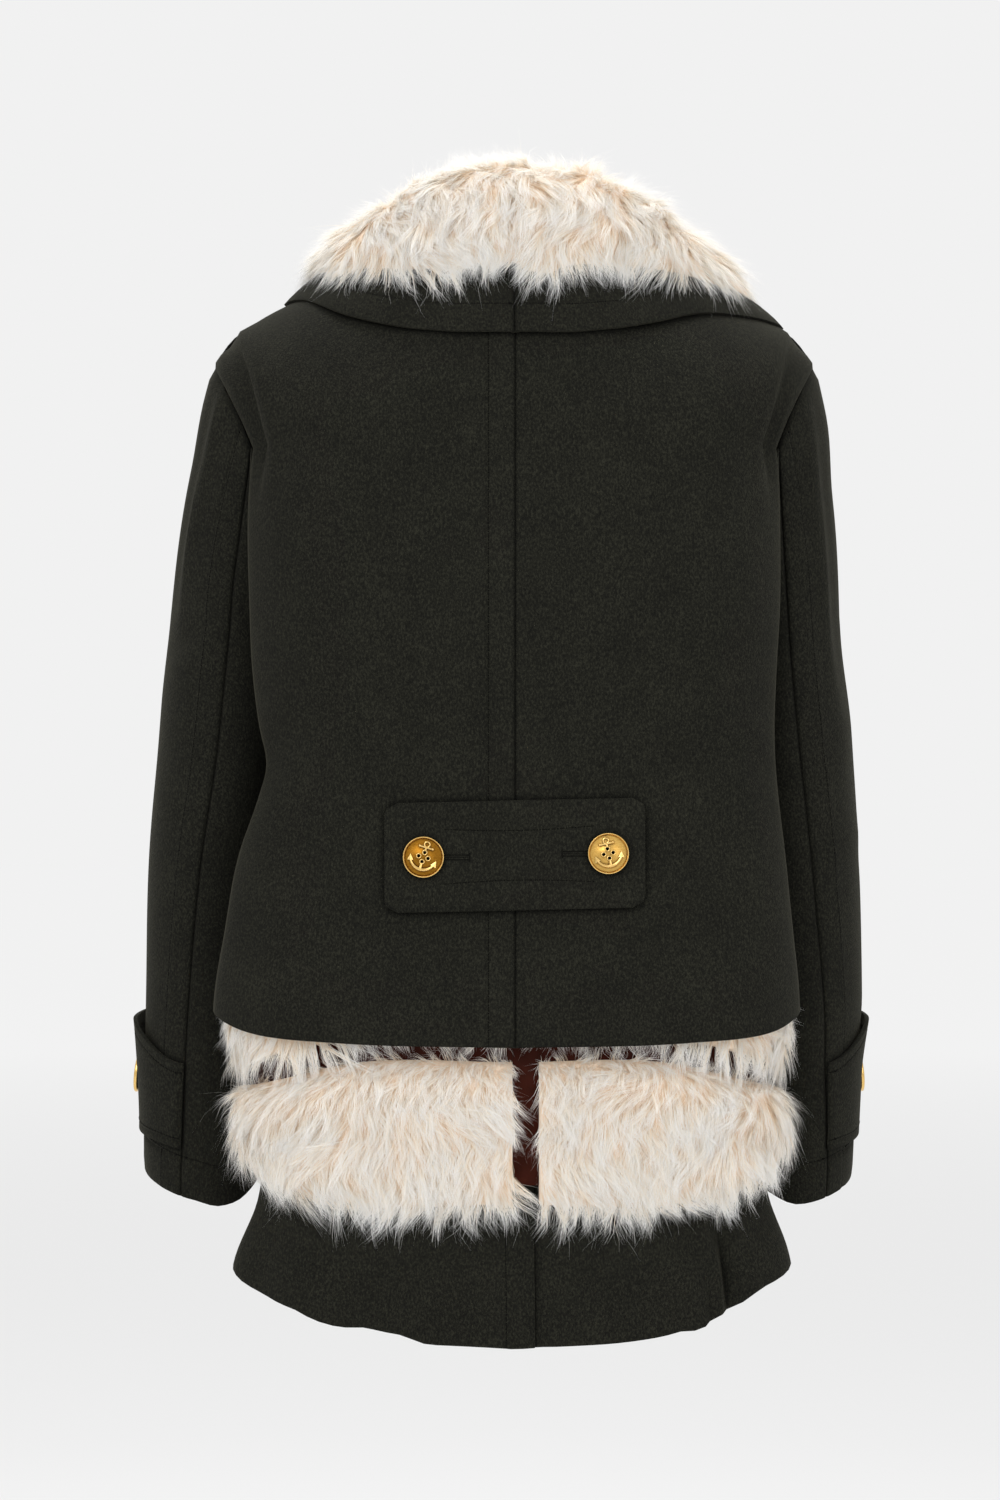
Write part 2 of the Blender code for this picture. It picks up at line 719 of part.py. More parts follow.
tabDrops = (0, 0.03, 0.12, 0.35, 0.65, 0.88, 0.97, 1)
tabShares = [-1, -0.88, -0.7, -0.5, -0.3, -0.1, 0.1, 0.3, 0.5, 0.7, 0.88, 1]
tabOuter = gridOf(tabDrops, tabShares, lambda drop, share: tabPoint(share, drop, tabLift + tabThick))
tabInner = gridOf(tabDrops, tabShares, lambda drop, share: tabPoint(share, drop, tabLift))
makeSlab("back_tab", tabOuter, tabInner)


# Straps on the cuffs, from the elbow seam round the outer side, standing off a little at the top
def strapPoint(side, share, rise, out):
    turn = 90 - 132 * share
    nearEnd = max(share - 0.86, 0) / 0.14
    top = -543 + 26 * smoothStep(0, 0.6, share) - 14 * nearEnd**2
    bottom = -607 + 14 * nearEnd**2
    z = bottom + (top - bottom) * rise
    table = sleeveTable["z"]
    drop = 1 + (z - table[0]) / (table[-1] - table[0])
    here = sleevePoint(side, turn, drop)
    across = sleevePoint(side, turn - 4, drop) - sleevePoint(side, turn + 4, drop)
    upward = sleevePoint(side, turn, drop - 0.02) - sleevePoint(side, turn, drop + 0.02)
    normal = unit(np.cross(across, upward)) * side * -1
    middle = np.array([side * 220.0, 38.0, z])
    if normal @ (here - middle) < 0:
        normal = -normal
    flare = 5.0 * rise**2 * smoothStep(0.1, 0.6, share)
    return here + normal * (out + flare)


strapShares = (0, 0.12, 0.25, 0.38, 0.5, 0.62, 0.75, 0.86, 0.95, 1)
strapRises = (0, 0.33, 0.66, 1)
strapThick = 3.0
for side, sideName in ((-1, "left"), (1, "right")):
    grids = []
    for out in (gap + 0.7 + strapThick, gap + 0.7):
        grids.append(gridOf(strapRises, strapShares, lambda rise, share: strapPoint(side, share, rise, out)))
    makeSlab(f"cuff_strap_{sideName}", grids[0], grids[1])


# Wool collar in two halves joined at the centre back
def collarShape(side, degrees, reach, out):
    step = 0.02
    here = collarPoint(side, degrees, reach)
    low = min(reach + step, 1)
    high = max(reach - step, -1)
    down = collarPoint(side, degrees, low) - collarPoint(side, degrees, high)
    firstTurn = min(degrees + 1, 150)
    lastTurn = max(degrees - 1, 0)
    across = collarPoint(side, firstTurn, reach) - collarPoint(side, lastTurn, reach)
    if degrees == 0:
        across[1] = 0
        across[2] = 0
    normal = unit(np.cross(down, across)) * side
    return here + normal * out


collarTurns = (0, 15, 30, 45, 60, 75, 90, 105, 120, 135, 150)
collarReaches = (-0.88, -0.5, -0.2, -0.06, 0.04, 0.15, 0.28, 0.42, 0.57, 0.7, 0.85, 1)
furTurns = (0, 15, 30, 45, 60, 75, 90, 105, 120, 135)
furProfile = {"reach": (-0.2, -0.06, 0.04, 0.15, 0.28, 0.42, 0.57, 0.7), "thick": (6, 19, 25, 27, 27, 24, 17, 6)}


def furThick(side, degrees, reach):
    edgeLumps = 1 + 0.08 * math.sin(degrees * 0.21 + side) + 0.05 * math.sin(reach * 9 + degrees * 0.4)
    taper = 1 - 0.35 * smoothStep(100, 140, degrees)
    return smoothRead(furProfile, "reach", "thick", reach) * edgeLumps * taper


for side, sideName in ((-1, "left"), (1, "right")):
    woolOuter = gridOf(collarReaches, collarTurns, lambda reach, turn: collarShape(side, turn, reach, 0))
    woolInner = gridOf(collarReaches, collarTurns, lambda reach, turn: collarShape(side, turn, reach, -wall))
    makeSlab(f"collar_wool_{sideName}", pulledIn(woolOuter, gap / 2), pulledIn(woolInner, gap / 2))
    furReaches = furProfile["reach"]
    furOuter = gridOf(
        furReaches,
        furTurns,
        lambda reach, turn: collarShape(side, turn, reach, layerGap + furThick(side, turn, reach)),
    )
    furInner = gridOf(furReaches, furTurns, lambda reach, turn: collarShape(side, turn, reach, layerGap))
    makeSlab(f"collar_fur_{sideName}", pulledIn(furOuter, gap / 2), pulledIn(furInner, gap / 2))


# Brass buttons with four holes: one turned mesh, drilled, and placed facing out of the cloth
buttonProfile = {"radius": (12.0, 14.2, 13.5, 11.5), "height": (0, 1.7, 3.9, 3.0)}
buttonFace = 2.7
holeRadius = 1.3
holeReach = 2.7
buttonSegments = 16


def buttonMesh():
    points = [np.zeros(3)]
    faces = []
    rings = list(zip(buttonProfile["radius"], buttonProfile["height"]))
    for radius, height in rings:
        for segment in range(buttonSegments):
            angle = 2 * math.pi * segment / buttonSegments
            points.append(np.array([radius * math.cos(angle), radius * math.sin(angle), height]))
    points.append(np.array([0, 0, buttonFace]))
    last = len(points) - 1
    for segment in range(buttonSegments):
        following = (segment + 1) % buttonSegments
        faces.append((0, 1 + following, 1 + segment))
        for ring in range(len(rings) - 1):
            low = 1 + ring * buttonSegments
            high = low + buttonSegments
            faces.append((low + segment, low + following, high + following, high + segment))
        start = 1 + (len(rings) - 1) * buttonSegments
        faces.append((start + segment, start + following, last))
    blank = makeObject("button_blank", points, faces)
    holes = bmesh.new()
    for hole in range(4):
        angle = math.radians(45 + 90 * hole)
        place = (holeReach * math.cos(angle) / 1000, holeReach * math.sin(angle) / 1000, 0.0015)
        radius = holeRadius / 1000
        drill = bmesh.ops.create_cone(
            holes, cap_ends=True, segments=6, radius1=radius, radius2=radius, depth=0.008
        )
        bmesh.ops.translate(holes, verts=drill["verts"], vec=place)
    drillMesh = bpy.data.meshes.new("button_holes")
    holes.to_mesh(drillMesh)
    holes.free()
    drills = bpy.data.objects.new("button_holes", drillMesh)
    bpy.context.scene.collection.objects.link(drills)
    cut = blank.modifiers.new("holes", "BOOLEAN")
    cut.operation = "DIFFERENCE"
    cut.solver = "EXACT"
    cut.object = drills
    graph = bpy.context.evaluated_depsgraph_get()
    drilled = bpy.data.meshes.new_from_object(blank.evaluated_get(graph))
    bpy.data.objects.remove(blank)
    bpy.data.objects.remove(drills)
    return drilled


sharedButton = buttonMesh()


def makeButton(name, centre, normal):
    made = bpy.data.objects.new(name, sharedButton)
    bpy.context.scene.collection.objects.link(made)
    made.parent = coat
    made.location = tuple(centre / 1000)
    made.rotation_euler = Vector(normal).to_track_quat("Z", "Y").to_euler()


for name, x, z in (("back_button_left", -62.8, -396.0), ("back_button_right", 63.8, -393.5)):
    side = 1 if x > 0 else -1
    place = placeAt(side, x, z)
    normal = formNormal(side, place, z)
    makeButton(name, formPoint(side, place, z) + normal * (tabLift + tabThick + gap), normal)

for side, sideName in ((-1, "left"), (1, "right")):
    centre = strapPoint(side, 0.7, 0.5, gap + 0.7 + strapThick + 0.9)
    behind = strapPoint(side, 0.7, 0.5, 0)
    makeButton(f"cuff_button_{sideName}", centre, unit(centre - behind))

for number, z in enumerate((-130, -225, -320, -415)):
    place = placeAt(1, 8.0, z, True)
    normal = formNormal(1, place, z)
    centre = formPoint(1, place, z) + normal * (wall + lapGap + 2 * gap)
    makeButton(f"front_button_{number + 1}", centre, normal)
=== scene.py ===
# Looks of the wool coat: cloth panels with seams, stitches and folds, and fur, leather and buttons.
# Lengths are in millimetres in the tables and functions, and turn into metres where a mesh is made.
import math

import bmesh
import bpy
import numpy as np
from mathutils import Matrix, Vector


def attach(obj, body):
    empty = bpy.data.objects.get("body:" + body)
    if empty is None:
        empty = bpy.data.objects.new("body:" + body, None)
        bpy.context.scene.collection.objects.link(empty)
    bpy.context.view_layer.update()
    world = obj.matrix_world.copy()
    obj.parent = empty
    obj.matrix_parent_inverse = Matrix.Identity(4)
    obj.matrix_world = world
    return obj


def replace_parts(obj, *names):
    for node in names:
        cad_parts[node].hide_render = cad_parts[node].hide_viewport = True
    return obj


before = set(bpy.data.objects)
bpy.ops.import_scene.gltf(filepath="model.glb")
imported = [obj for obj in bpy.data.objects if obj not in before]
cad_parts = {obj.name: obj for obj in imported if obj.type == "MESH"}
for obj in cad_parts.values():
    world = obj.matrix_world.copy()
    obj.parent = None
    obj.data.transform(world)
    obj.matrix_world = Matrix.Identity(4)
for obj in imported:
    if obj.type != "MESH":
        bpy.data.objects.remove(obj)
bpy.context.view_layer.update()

print("frame loaded:", len(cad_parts), "nodes")

# The coat's own form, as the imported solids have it
wall = 2.6
gap = 0.3
armLevel = -110.0
shoulderX = 213.0
shoulderZ = -49.0
underarmX = 153.0
underarmZ = -172.0
backCornerY = -50.0
frontCornerY = 70.0
neckHalfWidth = 78.0
lapGap = 0.9
squareInset = 4.0
rowCount = 11
formHalfWidth = 195.0
formHalfDepth = 125.0
sides = {-1: "left", 1: "right"}

# Outer form by height: half width left and right, depth behind and in front, and how far sleeves push in
formTable = {
    "z": (-110, -172, -213, -274, -305, -334, -357, -392, -450, -505, -560, -600, -640, -690, -735),
    "left": (187, 188, 187, 184, 180, 175, 181, 192, 201, 209, 206, 201, 201, 215, 222),
    "right": (187, 187, 187, 184, 183, 184, 186, 190, 195, 200, 198, 197, 199, 211, 218),
    "back": (118, 121, 121, 117, 114, 112, 112, 114, 119, 124, 128, 129, 130, 133, 136),
    "front": (122, 127, 129, 126, 123, 121, 121, 123, 127, 131, 134, 134, 134, 136, 138),
    "pinch": (0.05, 0.23, 0.27, 0.26, 0.25, 0.23, 0.24, 0.25, 0.25, 0.25, 0.25, 0.24, 0.21, 0.15, 0.1),
}
ringLook = {"steps": 241, "endRound": 0.9, "sideRound": 0.45, "pinchY": 25, "pinchReach": 62}

# Lower edges by place round the body: 0 centre back, 1 back corner, 2 front corner, 3 centre front
hemTable = {
    "place": (0, 0.5, 0.8, 1, 1.5, 2, 3),
    "shell": (-526, -523, -517, -504, -498, -502, -508),
    "skirt": (-731, -722, -706, -690, -682, -690, -702),
    "stripDip": (0, 1, 16, 23, 23, 22, 20),
    "lowerFringe": (-655, -655, -642, -616, -612, -616, -620),
}

# Sleeve rings by height: how far out each one reaches, its width and depth, and where its middle is
sleeveTable = {
    "z": (-225, -315, -394, -502, -618, -641),
    "left": (248, 255, 262, 265, 266, 266),
    "right": (236, 242, 247, 250, 248, 247),
    "leftWidth": (92, 89, 86, 84, 82, 81),
    "rightWidth": (84, 84, 83, 81, 79, 79),
    "depth": (126, 122, 116, 110, 106, 105),
    "middle": (28, 31, 34, 38, 38, 38),
}
sleeveLook = {"turn": 14, "slant": 15, "headSwell": 5}

# Shoulder line by distance from the middle, and the neckline: its point at the shoulder, reach and drop
shoulderTable = {
    "x": (78, 120, 161, 185, 203, 213),
    "z": (36, 15, -5, -18, -32, -49),
}
neckline = {
    "y": -3,
    "z": 36,
    "backReach": 63,
    "backDrop": 1,
    "frontReach": 77,
    "frontDrop": 54,
    "sweep": 1.3,
}

# Collar by angle round the neck from the centre back: its fold, and its outer edge on the body
collarTable = {
    "angle": (0, 30, 50, 65, 80, 90, 105, 125, 150),
    "foldOut": (8, 8, 8, 7, 5, 4, 5, 8, 10),
    "foldZ": (73, 70, 62, 54, 46, 43, 40, 32, 16),
    "edgeX": (0, 55, 100, 135, 163, 178, 166, 140, 85),
    "edgeZ": (-35, -34, -28, -18, -13, -14, -15, -35, -62),
}
collarEnd = 150
collarStep = 1.5
collarForm = {
    "frontLift": 5,
    "liftTurns": (78, 108),
    "standBend": 6,
    "fallBend": 0.45,
    "fallDrop": 0.03,
    "clear": 2.2,
}


# Smooth reading of a table between its rows, for one value or an array of them
def smoothRead(table, across, column, value):
    xs = np.array(table[across], float)
    ys = np.array(table[column], float)
    if xs[0] > xs[-1]:
        xs = xs[::-1]
        ys = ys[::-1]
    slopes = np.gradient(ys, xs)
    value = np.clip(value, xs[0], xs[-1])
    place = np.clip(np.searchsorted(xs, value, "right") - 1, 0, len(xs) - 2)
    width = xs[place + 1] - xs[place]
    t = (value - xs[place]) / width
    startWeight = (1 + 2 * t) * (1 - t) ** 2
    endWeight = t * t * (3 - 2 * t)
    whole = startWeight * ys[place] + endWeight * ys[place + 1]
    return whole + t * (1 - t) * width * ((1 - t) * slopes[place] - t * slopes[place + 1])


def smoothStep(low, high, value):
    t = np.clip((value - low) / (high - low), 0.0, 1.0)
    return t * t * (3 - 2 * t)


# A rise and fall of 1 round a middle value
def bell(value, middle, spread):
    return np.exp(-(((value - middle) / spread) ** 2))


def unit(vectors):
    lengths = np.linalg.norm(vectors, axis=-1, keepdims=True)
    return vectors / np.maximum(lengths, 1e-9)


def stacked(x, y, z):
    return np.stack(np.broadcast_arrays(x, y, z), axis=-1).astype(float)


# Half of the form at one height, from centre back to centre front, with its place numbers
def section(side, z):
    steps = np.linspace(0, math.pi, ringLook["steps"])
    angle = (0.5 - 0.5 * np.cos(steps)) * math.pi
    forward = -np.cos(angle)
    columns = ("back", "front", "pinch", sides[side])
    back, front, pinch, most = [smoothRead(formTable, "z", column, z) for column in columns]
    y = np.sign(forward) * np.abs(forward) ** ringLook["endRound"] * np.where(forward < 0, back, front)
    pushed = pinch * np.exp(-(((y - ringLook["pinchY"]) / ringLook["pinchReach"]) ** 4))
    shape = np.clip(np.sin(angle), 0, 1) ** ringLook["sideRound"] * (1 - pushed)
    x = most * shape / shape.max()
    length = np.concatenate([[0], np.cumsum(np.hypot(np.diff(x), np.diff(y)))])
    corners = [np.interp(cornerY, y, length) for cornerY in (backCornerY, frontCornerY)]
    return x, y, np.interp(length, [0, *corners, length[-1]], [0, 1, 2, 3])


# The form read once at close heights and places, so that whole grids of points come from it quickly
formHeights = np.linspace(-742, armLevel, 159)
formPlaces = np.linspace(0, 3, 601)
formGrids = {}
for side in sides:
    rings = [section(side, z) for z in formHeights]
    xs = [np.interp(formPlaces, places, x) * side for x, y, places in rings]
    ys = [np.interp(formPlaces, places, y) for x, y, places in rings]
    formGrids[side] = np.stack([xs, ys], axis=-1)


def readGrid(grid, rows, columns):
    rows = np.clip(rows, 0, grid.shape[0] - 1.001)
    columns = np.clip(columns, 0, grid.shape[1] - 1.001)
    row = rows.astype(int)
    column = columns.astype(int)
    down = (rows - row)[..., None]
    along = (columns - column)[..., None]
    low = grid[row, column] * (1 - along) + grid[row, column + 1] * along
    high = grid[row + 1, column] * (1 - along) + grid[row + 1, column + 1] * along
    return low * (1 - down) + high * down


# Places past a centre line cross over to the other half
def ownHalf(place):
    crossed = (place < 0) | (place > 3)
    return crossed, np.where(place < 0, -place, np.where(place > 3, 6 - place, place))


# Points of the form at places round the body and heights
def formPoint(side, place, z):
    place, z = np.broadcast_arrays(np.asarray(place, float), np.asarray(z, float))
    crossed, folded = ownHalf(place)
    rows = (z - formHeights[0]) / (formHeights[1] - formHeights[0])
    columns = folded / (formPlaces[1] - formPlaces[0])
    own = readGrid(formGrids[side], rows, columns)
    other = readGrid(formGrids[-side], rows, columns)
    flat = np.where(crossed[..., None], other, own)
    return stacked(flat[..., 0], flat[..., 1], z)


# How far to each side a direction along a surface is read
nearby = {"place": 0.01, "z": 4, "turn": 4, "drop": 0.02}


def formNormal(side, place, z):
    along = formPoint(side, place + nearby["place"], z) - formPoint(side, place - nearby["place"], z)
    up = formPoint(side, place, z + nearby["z"]) - formPoint(side, place, z - nearby["z"])
    return unit(np.cross(along, up)) * side


def formInset(side, place, z, inset):
    square = np.minimum(inset, squareInset)
    drawn = np.maximum(inset - square, 0)
    point = formPoint(side, place, z) - formNormal(side, place, z) * np.asarray(square)[..., None]
    return point * stacked(1 - drawn / formHalfWidth, 1 - drawn / formHalfDepth, 1.0)


# Place number of a point of the back or the front at a given x, where x may be past the centre line
def placeAt(side, x, z, front=False):
    xs, ys, places = section(side if x * side >= 0 else -side, z)
    middle = len(xs) // 2
    if front:
        place = np.interp(abs(x), xs[middle:][::-1], places[middle:][::-1])
        return place if x * side >= 0 else 6 - place
    place = np.interp(abs(x), xs[:middle], places[:middle])
    return place if x * side >= 0 else -place


def hemZ(name, place):
    return smoothRead(hemTable, "place", name, ownHalf(np.asarray(place))[1])


# Height of the line where the skirt layer or a tier starts, by rows of the outer layer's own division
def rowZ(place, row):
    return armLevel + (hemZ("shell", place) - armLevel) * row / rowCount


# Neckline and shoulder line at a distance from the middle
def topPoint(x, facing):
    away = np.abs(x)
    lean = np.sqrt(np.clip(1 - (away / neckHalfWidth) ** 2, 0, 1))
    reach = np.where(facing < 0, -neckline["backReach"] * lean, neckline["frontReach"] * lean)
    frontDrop = neckline["frontDrop"] * lean ** neckline["sweep"]
    drop = np.where(facing < 0, neckline["backDrop"] * lean, frontDrop)
    beyond = neckline["y"] - neckline["y"] * (away - neckHalfWidth) / (shoulderX - neckHalfWidth)
    inNeck = away < neckHalfWidth
    z = np.where(inNeck, neckline["z"] - drop, smoothRead(shoulderTable, "x", "z", away))
    return stacked(x, np.where(inNeck, neckline["y"] + reach, beyond), z)


cornerX = {}
for side in sides:
    cornerX[side] = [abs(float(formPoint(side, corner, armLevel)[0])) for corner in (1, 2)]


# Points of the outer layer above the arm level, where rise goes from 0 to 1 at the shoulder line
def upperPoint(side, place, rise):
    low = formPoint(side, place, armLevel)
    facing = np.where(np.asarray(place) > 1.5, 1, -1)
    corner = np.where(facing > 0, cornerX[side][1], cornerX[side][0])
    top = topPoint(low[..., 0] * shoulderX / corner, facing)
    lift = np.sin(rise * math.pi / 2)
    lean = 1 - np.cos(rise * math.pi / 2)
    return low + (top - low) * stacked(lift, lean, lift)


# Armhole seam by angle: 0 shoulder, 90 back, 180 underarm, 270 front
def armhole(side, degrees):
    angle = np.radians(degrees)
    outward = np.cos(angle)
    sideways = np.sin(angle)
    back = formPoint(side, 1, armLevel)
    front = formPoint(side, 2, armLevel)
    cornerPlace = np.where((sideways >= 0)[..., None], back, front)
    cornerReach = np.abs(cornerPlace[..., 0])
    middleY = (backCornerY + frontCornerY) / 2
    upper = outward > 0
    x = cornerReach + np.where(upper, shoulderX - cornerReach, cornerReach - underarmX) * outward
    fromY = np.where(upper, 0, middleY)
    y = fromY + (cornerPlace[..., 1] - fromY) * np.abs(sideways)
    z = armLevel + np.where(upper, shoulderZ - armLevel, armLevel - underarmZ) * outward
    return stacked(side * x, y, z)


# Points of the outer layer: fall goes from 0 at the arm level or armhole to 1 at the hem
def lowerPoint(side, place, fall):
    place, fall = np.broadcast_arrays(np.asarray(place, float), np.asarray(fall, float))
    hem = hemZ("shell", place)
    straight = formPoint(side, place, armLevel + (hem - armLevel) * fall)
    seam = armhole(side, 90 + 180 * (np.clip(place, 1, 2) - 1))
    z = seam[..., 2] + (hem - seam[..., 2]) * fall
    push = (seam - formPoint(side, place, seam[..., 2])) * ((1 - fall) ** 4)[..., None]
    under = (place > 1) & (place < 2)
    return np.where(under[..., None], formPoint(side, place, z) + push, straight)


# Points of a sleeve: degrees as at the armhole; drop 0 to 1 is the head, 1 to 2 runs down to the cuff
def sleevePoint(side, degrees, drop):
    degrees, drop = np.broadcast_arrays(np.asarray(degrees, float) % 360, np.asarray(drop, float))
    down = np.maximum(drop - 1, 0)
    top = sleeveTable["z"][0]
    z = top + (sleeveTable["z"][-1] - top) * down
    columns = (sides[side], sides[side] + "Width", "depth", "middle")
    reach, width, depth, middle = [smoothRead(sleeveTable, "z", column, z) for column in columns]
    angle = np.radians(degrees - sleeveLook["turn"] * smoothStep(0, 1, down))
    x = reach - width / 2 + width / 2 * np.cos(angle)
    y = middle - depth / 2 * np.sin(angle)
    ring = stacked(side * x, y, z - sleeveLook["slant"] * down**2 * np.sin(angle))
    seam = armhole(side, degrees)
    head = np.minimum(drop, 1)
    swell = sleeveLook["headSwell"] * np.sin(math.pi * head) * np.maximum(np.cos(np.radians(degrees)), 0)
    return seam + (ring - seam) * head[..., None] + stacked(side * swell, 0, 0)


# Neck point, fold and outer edge of the collar at an angle from the centre back
def collarFrame(side, degrees):
    angle = math.radians(degrees)
    facing = 1 if degrees > 90 else -1
    neck = topPoint(side * neckHalfWidth * math.sin(angle) * 0.9999, facing)
    neck[2] += collarForm["frontLift"] * smoothStep(*collarForm["liftTurns"], degrees)
    columns = ("foldOut", "foldZ", "edgeX", "edgeZ")
    foldOut, foldZ, edgeX, edgeZ = [smoothRead(collarTable, "angle", column, degrees) for column in columns]
    fold = neck + np.array([side * math.sin(angle), -math.cos(angle), 0]) * foldOut
    fold[2] = foldZ
    corner = cornerX[side][1 if facing > 0 else 0]
    place = placeAt(side, side * edgeX * corner / shoulderX, armLevel, facing > 0)
    share = (edgeZ - armLevel) / (topPoint(edgeX, facing)[2] - armLevel)
    rise = math.asin(min(share, 1.0)) / (math.pi / 2)
    surface = upperPoint(side, place, rise)
    across = upperPoint(side, place + 0.02, rise) - upperPoint(side, place - 0.02, rise)
    upward = surface - upperPoint(side, place, rise - 0.03)
    return neck, fold, surface + unit(np.cross(across, upward)) * side * (wall + collarForm["clear"])


collarDegrees = np.arange(0, collarEnd + collarStep, collarStep)
collarFrames = {}
for side in sides:
    collarFrames[side] = np.array([collarFrame(side, degrees) for degrees in collarDegrees])


# Points of the collar's top surface: -1 neck seam, 0 fold, 1 outer edge
def collarPoint(side, degrees, reach):
    degrees, reach = np.broadcast_arrays(np.asarray(degrees, float), np.asarray(reach, float))
    frames = collarFrames[side].reshape(len(collarDegrees), 9)
    found = readGrid(np.stack([frames, frames]), np.zeros(degrees.shape), degrees / collarStep)
    neck, fold, edge = found[..., 0:3], found[..., 3:6], found[..., 6:9]
    standing = (1 + reach)[..., None]
    standBend = (neck + fold) / 2 + np.array([0, 0, collarForm["standBend"]])
    stand = neck * (1 - standing) ** 2 + standBend * 2 * standing * (1 - standing) + fold * standing**2
    fallen = reach[..., None]
    fallBend = fold + (edge - fold) * collarForm["fallBend"]
    fallBend[..., 2] = fold[..., 2] - collarForm["fallDrop"] * (fold[..., 2] - edge[..., 2])
    fall = fold * (1 - fallen) ** 2 + fallBend * 2 * fallen * (1 - fallen) + edge * fallen**2
    return np.where(fallen < 0, stand, fall)


print("form ready")


# Materials: a hex colour as seen on a screen becomes the linear colour that the shader takes
def fromHex(code):
    values = [int(code[start : start + 2], 16) / 255 for start in (1, 3, 5)]
    return [v / 12.92 if v <= 0.04045 else ((v + 0.055) / 1.055) ** 2.4 for v in values] + [1.0]


# Sets a node's options and inputs; a value that is another node's output is linked
def setNode(node, settings):
    for name, value in settings.items():
        if isinstance(value, bpy.types.NodeSocket):
            node.id_data.links.new(value, node.inputs[name])
        elif isinstance(name, str) and hasattr(node, name):
            setattr(node, name, value)
        else:
            node.inputs[name].default_value = value


# Adds a node with its settings and gives one of its outputs
def addNode(tree, kind, settings, output=0):
    node = tree.nodes.new("ShaderNode" + kind)
    setNode(node, settings)
    return node.outputs[output]


def newMaterial(name):
    made = bpy.data.materials.new(name)
    made.use_nodes = True
    tree = made.node_tree
    return made, tree, tree.nodes["Principled BSDF"], addNode(tree, "TexCoord", {}, "Object")


# Noise scale for spots of a size in millimetres, on coordinates in metres
def perMetre(millimetres):
    return 1000 / millimetres


def setRamp(colour, stops):
    elements = colour.node.color_ramp.elements
    while len(elements) < len(stops):
        elements.new(0.5)
    for element, (position, code) in zip(elements, stops):
        element.position = position
        element.color = fromHex(code)


# Melton: fulled and brushed wool, so the weave hardly shows and short fibres catch light at grazing angles.
# Seams, creases and the cloth under edges get painted shade: the colour darkens by how closed in each point
# is.
def meltonWool():
    made, tree, shader, place = newMaterial("meltonWool")
    combed = addNode(tree, "Mapping", {"Scale": (1, 1, 0.6), "Vector": place})
    fine = {"Scale": perMetre(1.25), "Detail": 4.0, "Roughness": 0.75, "Vector": combed}
    nap = addNode(tree, "TexNoise", fine)  # real nap is finer; drawn as it needs to show
    patches = addNode(tree, "TexNoise", {"Scale": perMetre(38), "Vector": place})
    mixed = addNode(tree, "Math", {"operation": "MULTIPLY_ADD", 0: patches, 1: 0.1, 2: nap})
    colour = addNode(tree, "ValToRGB", {"Fac": mixed})
    setRamp(colour, [(0.36, "#090907"), (0.54, "#171712"), (0.7, "#2a2a22")])
    bands = {"Scale": perMetre(4.4), "Distortion": 5.0, "Detail": 3.0, "Detail Scale": 2.0, "Vector": place}
    twill = addNode(tree, "TexWave", dict(bands, bands_direction="DIAGONAL"), "Fac")
    relief = addNode(tree, "Math", {"operation": "MULTIPLY_ADD", 0: twill, 1: 0.25, 2: nap})
    # Painted shade: ambient occlusion darkens the wool's colour in seams, creases and under edges
    isOpen = addNode(tree, "AmbientOcclusion", {"samples": 6, "Distance": 0.006}, "AO")
    pressed = {"From Min": 0.35, "From Max": 0.92, "To Min": 0.12, "To Max": 1.0, "Value": isOpen}
    paintedShadeScale = {"operation": "SCALE", 0: colour, "Scale": addNode(tree, "MapRange", pressed)}
    settings = {
        "Base Color": addNode(tree, "VectorMath", paintedShadeScale),
        "Roughness": addNode(tree, "MapRange", {"To Min": 0.84, "To Max": 0.98, "Value": nap}),
        "Normal": addNode(tree, "Bump", {"Strength": 0.55, "Distance": 0.0007, "Height": relief}),
        "Specular IOR Level": 0.12,
        "Sheen Weight": 0.16,
        "Sheen Roughness": 0.33,
        "Sheen Tint": fromHex("#95917a"),
    }
    setNode(shader, settings)
    return made


# Spun polyester sewing thread, sunk in the nap: darker than the cloth and without shine
def sewingThread():
    made, tree, shader, place = newMaterial("sewingThread")
    fibre = addNode(tree, "TexNoise", {"Scale": perMetre(0.9), "Vector": place})
    colour = addNode(tree, "ValToRGB", {"Fac": fibre})
    setRamp(colour, [(0.3, "#070705"), (0.7, "#10100c")])
    setNode(shader, {"Base Color": colour, "Roughness": 0.9, "Specular IOR Level": 0.08})
    return made


# Needle holes and the slit of a buttonhole: cloth seen in its own shadow
def needleHole():
    made, tree, shader, place = newMaterial("needleHole")
    fleck = addNode(tree, "TexNoise", {"Scale": perMetre(1.0), "Vector": place})
    colour = addNode(tree, "ValToRGB", {"Fac": fleck})
    setRamp(colour, [(0.3, "#020202"), (0.7, "#050504")])
    setNode(shader, {"Base Color": colour, "Roughness": 1.0, "Specular IOR Level": 0.1})
    return made
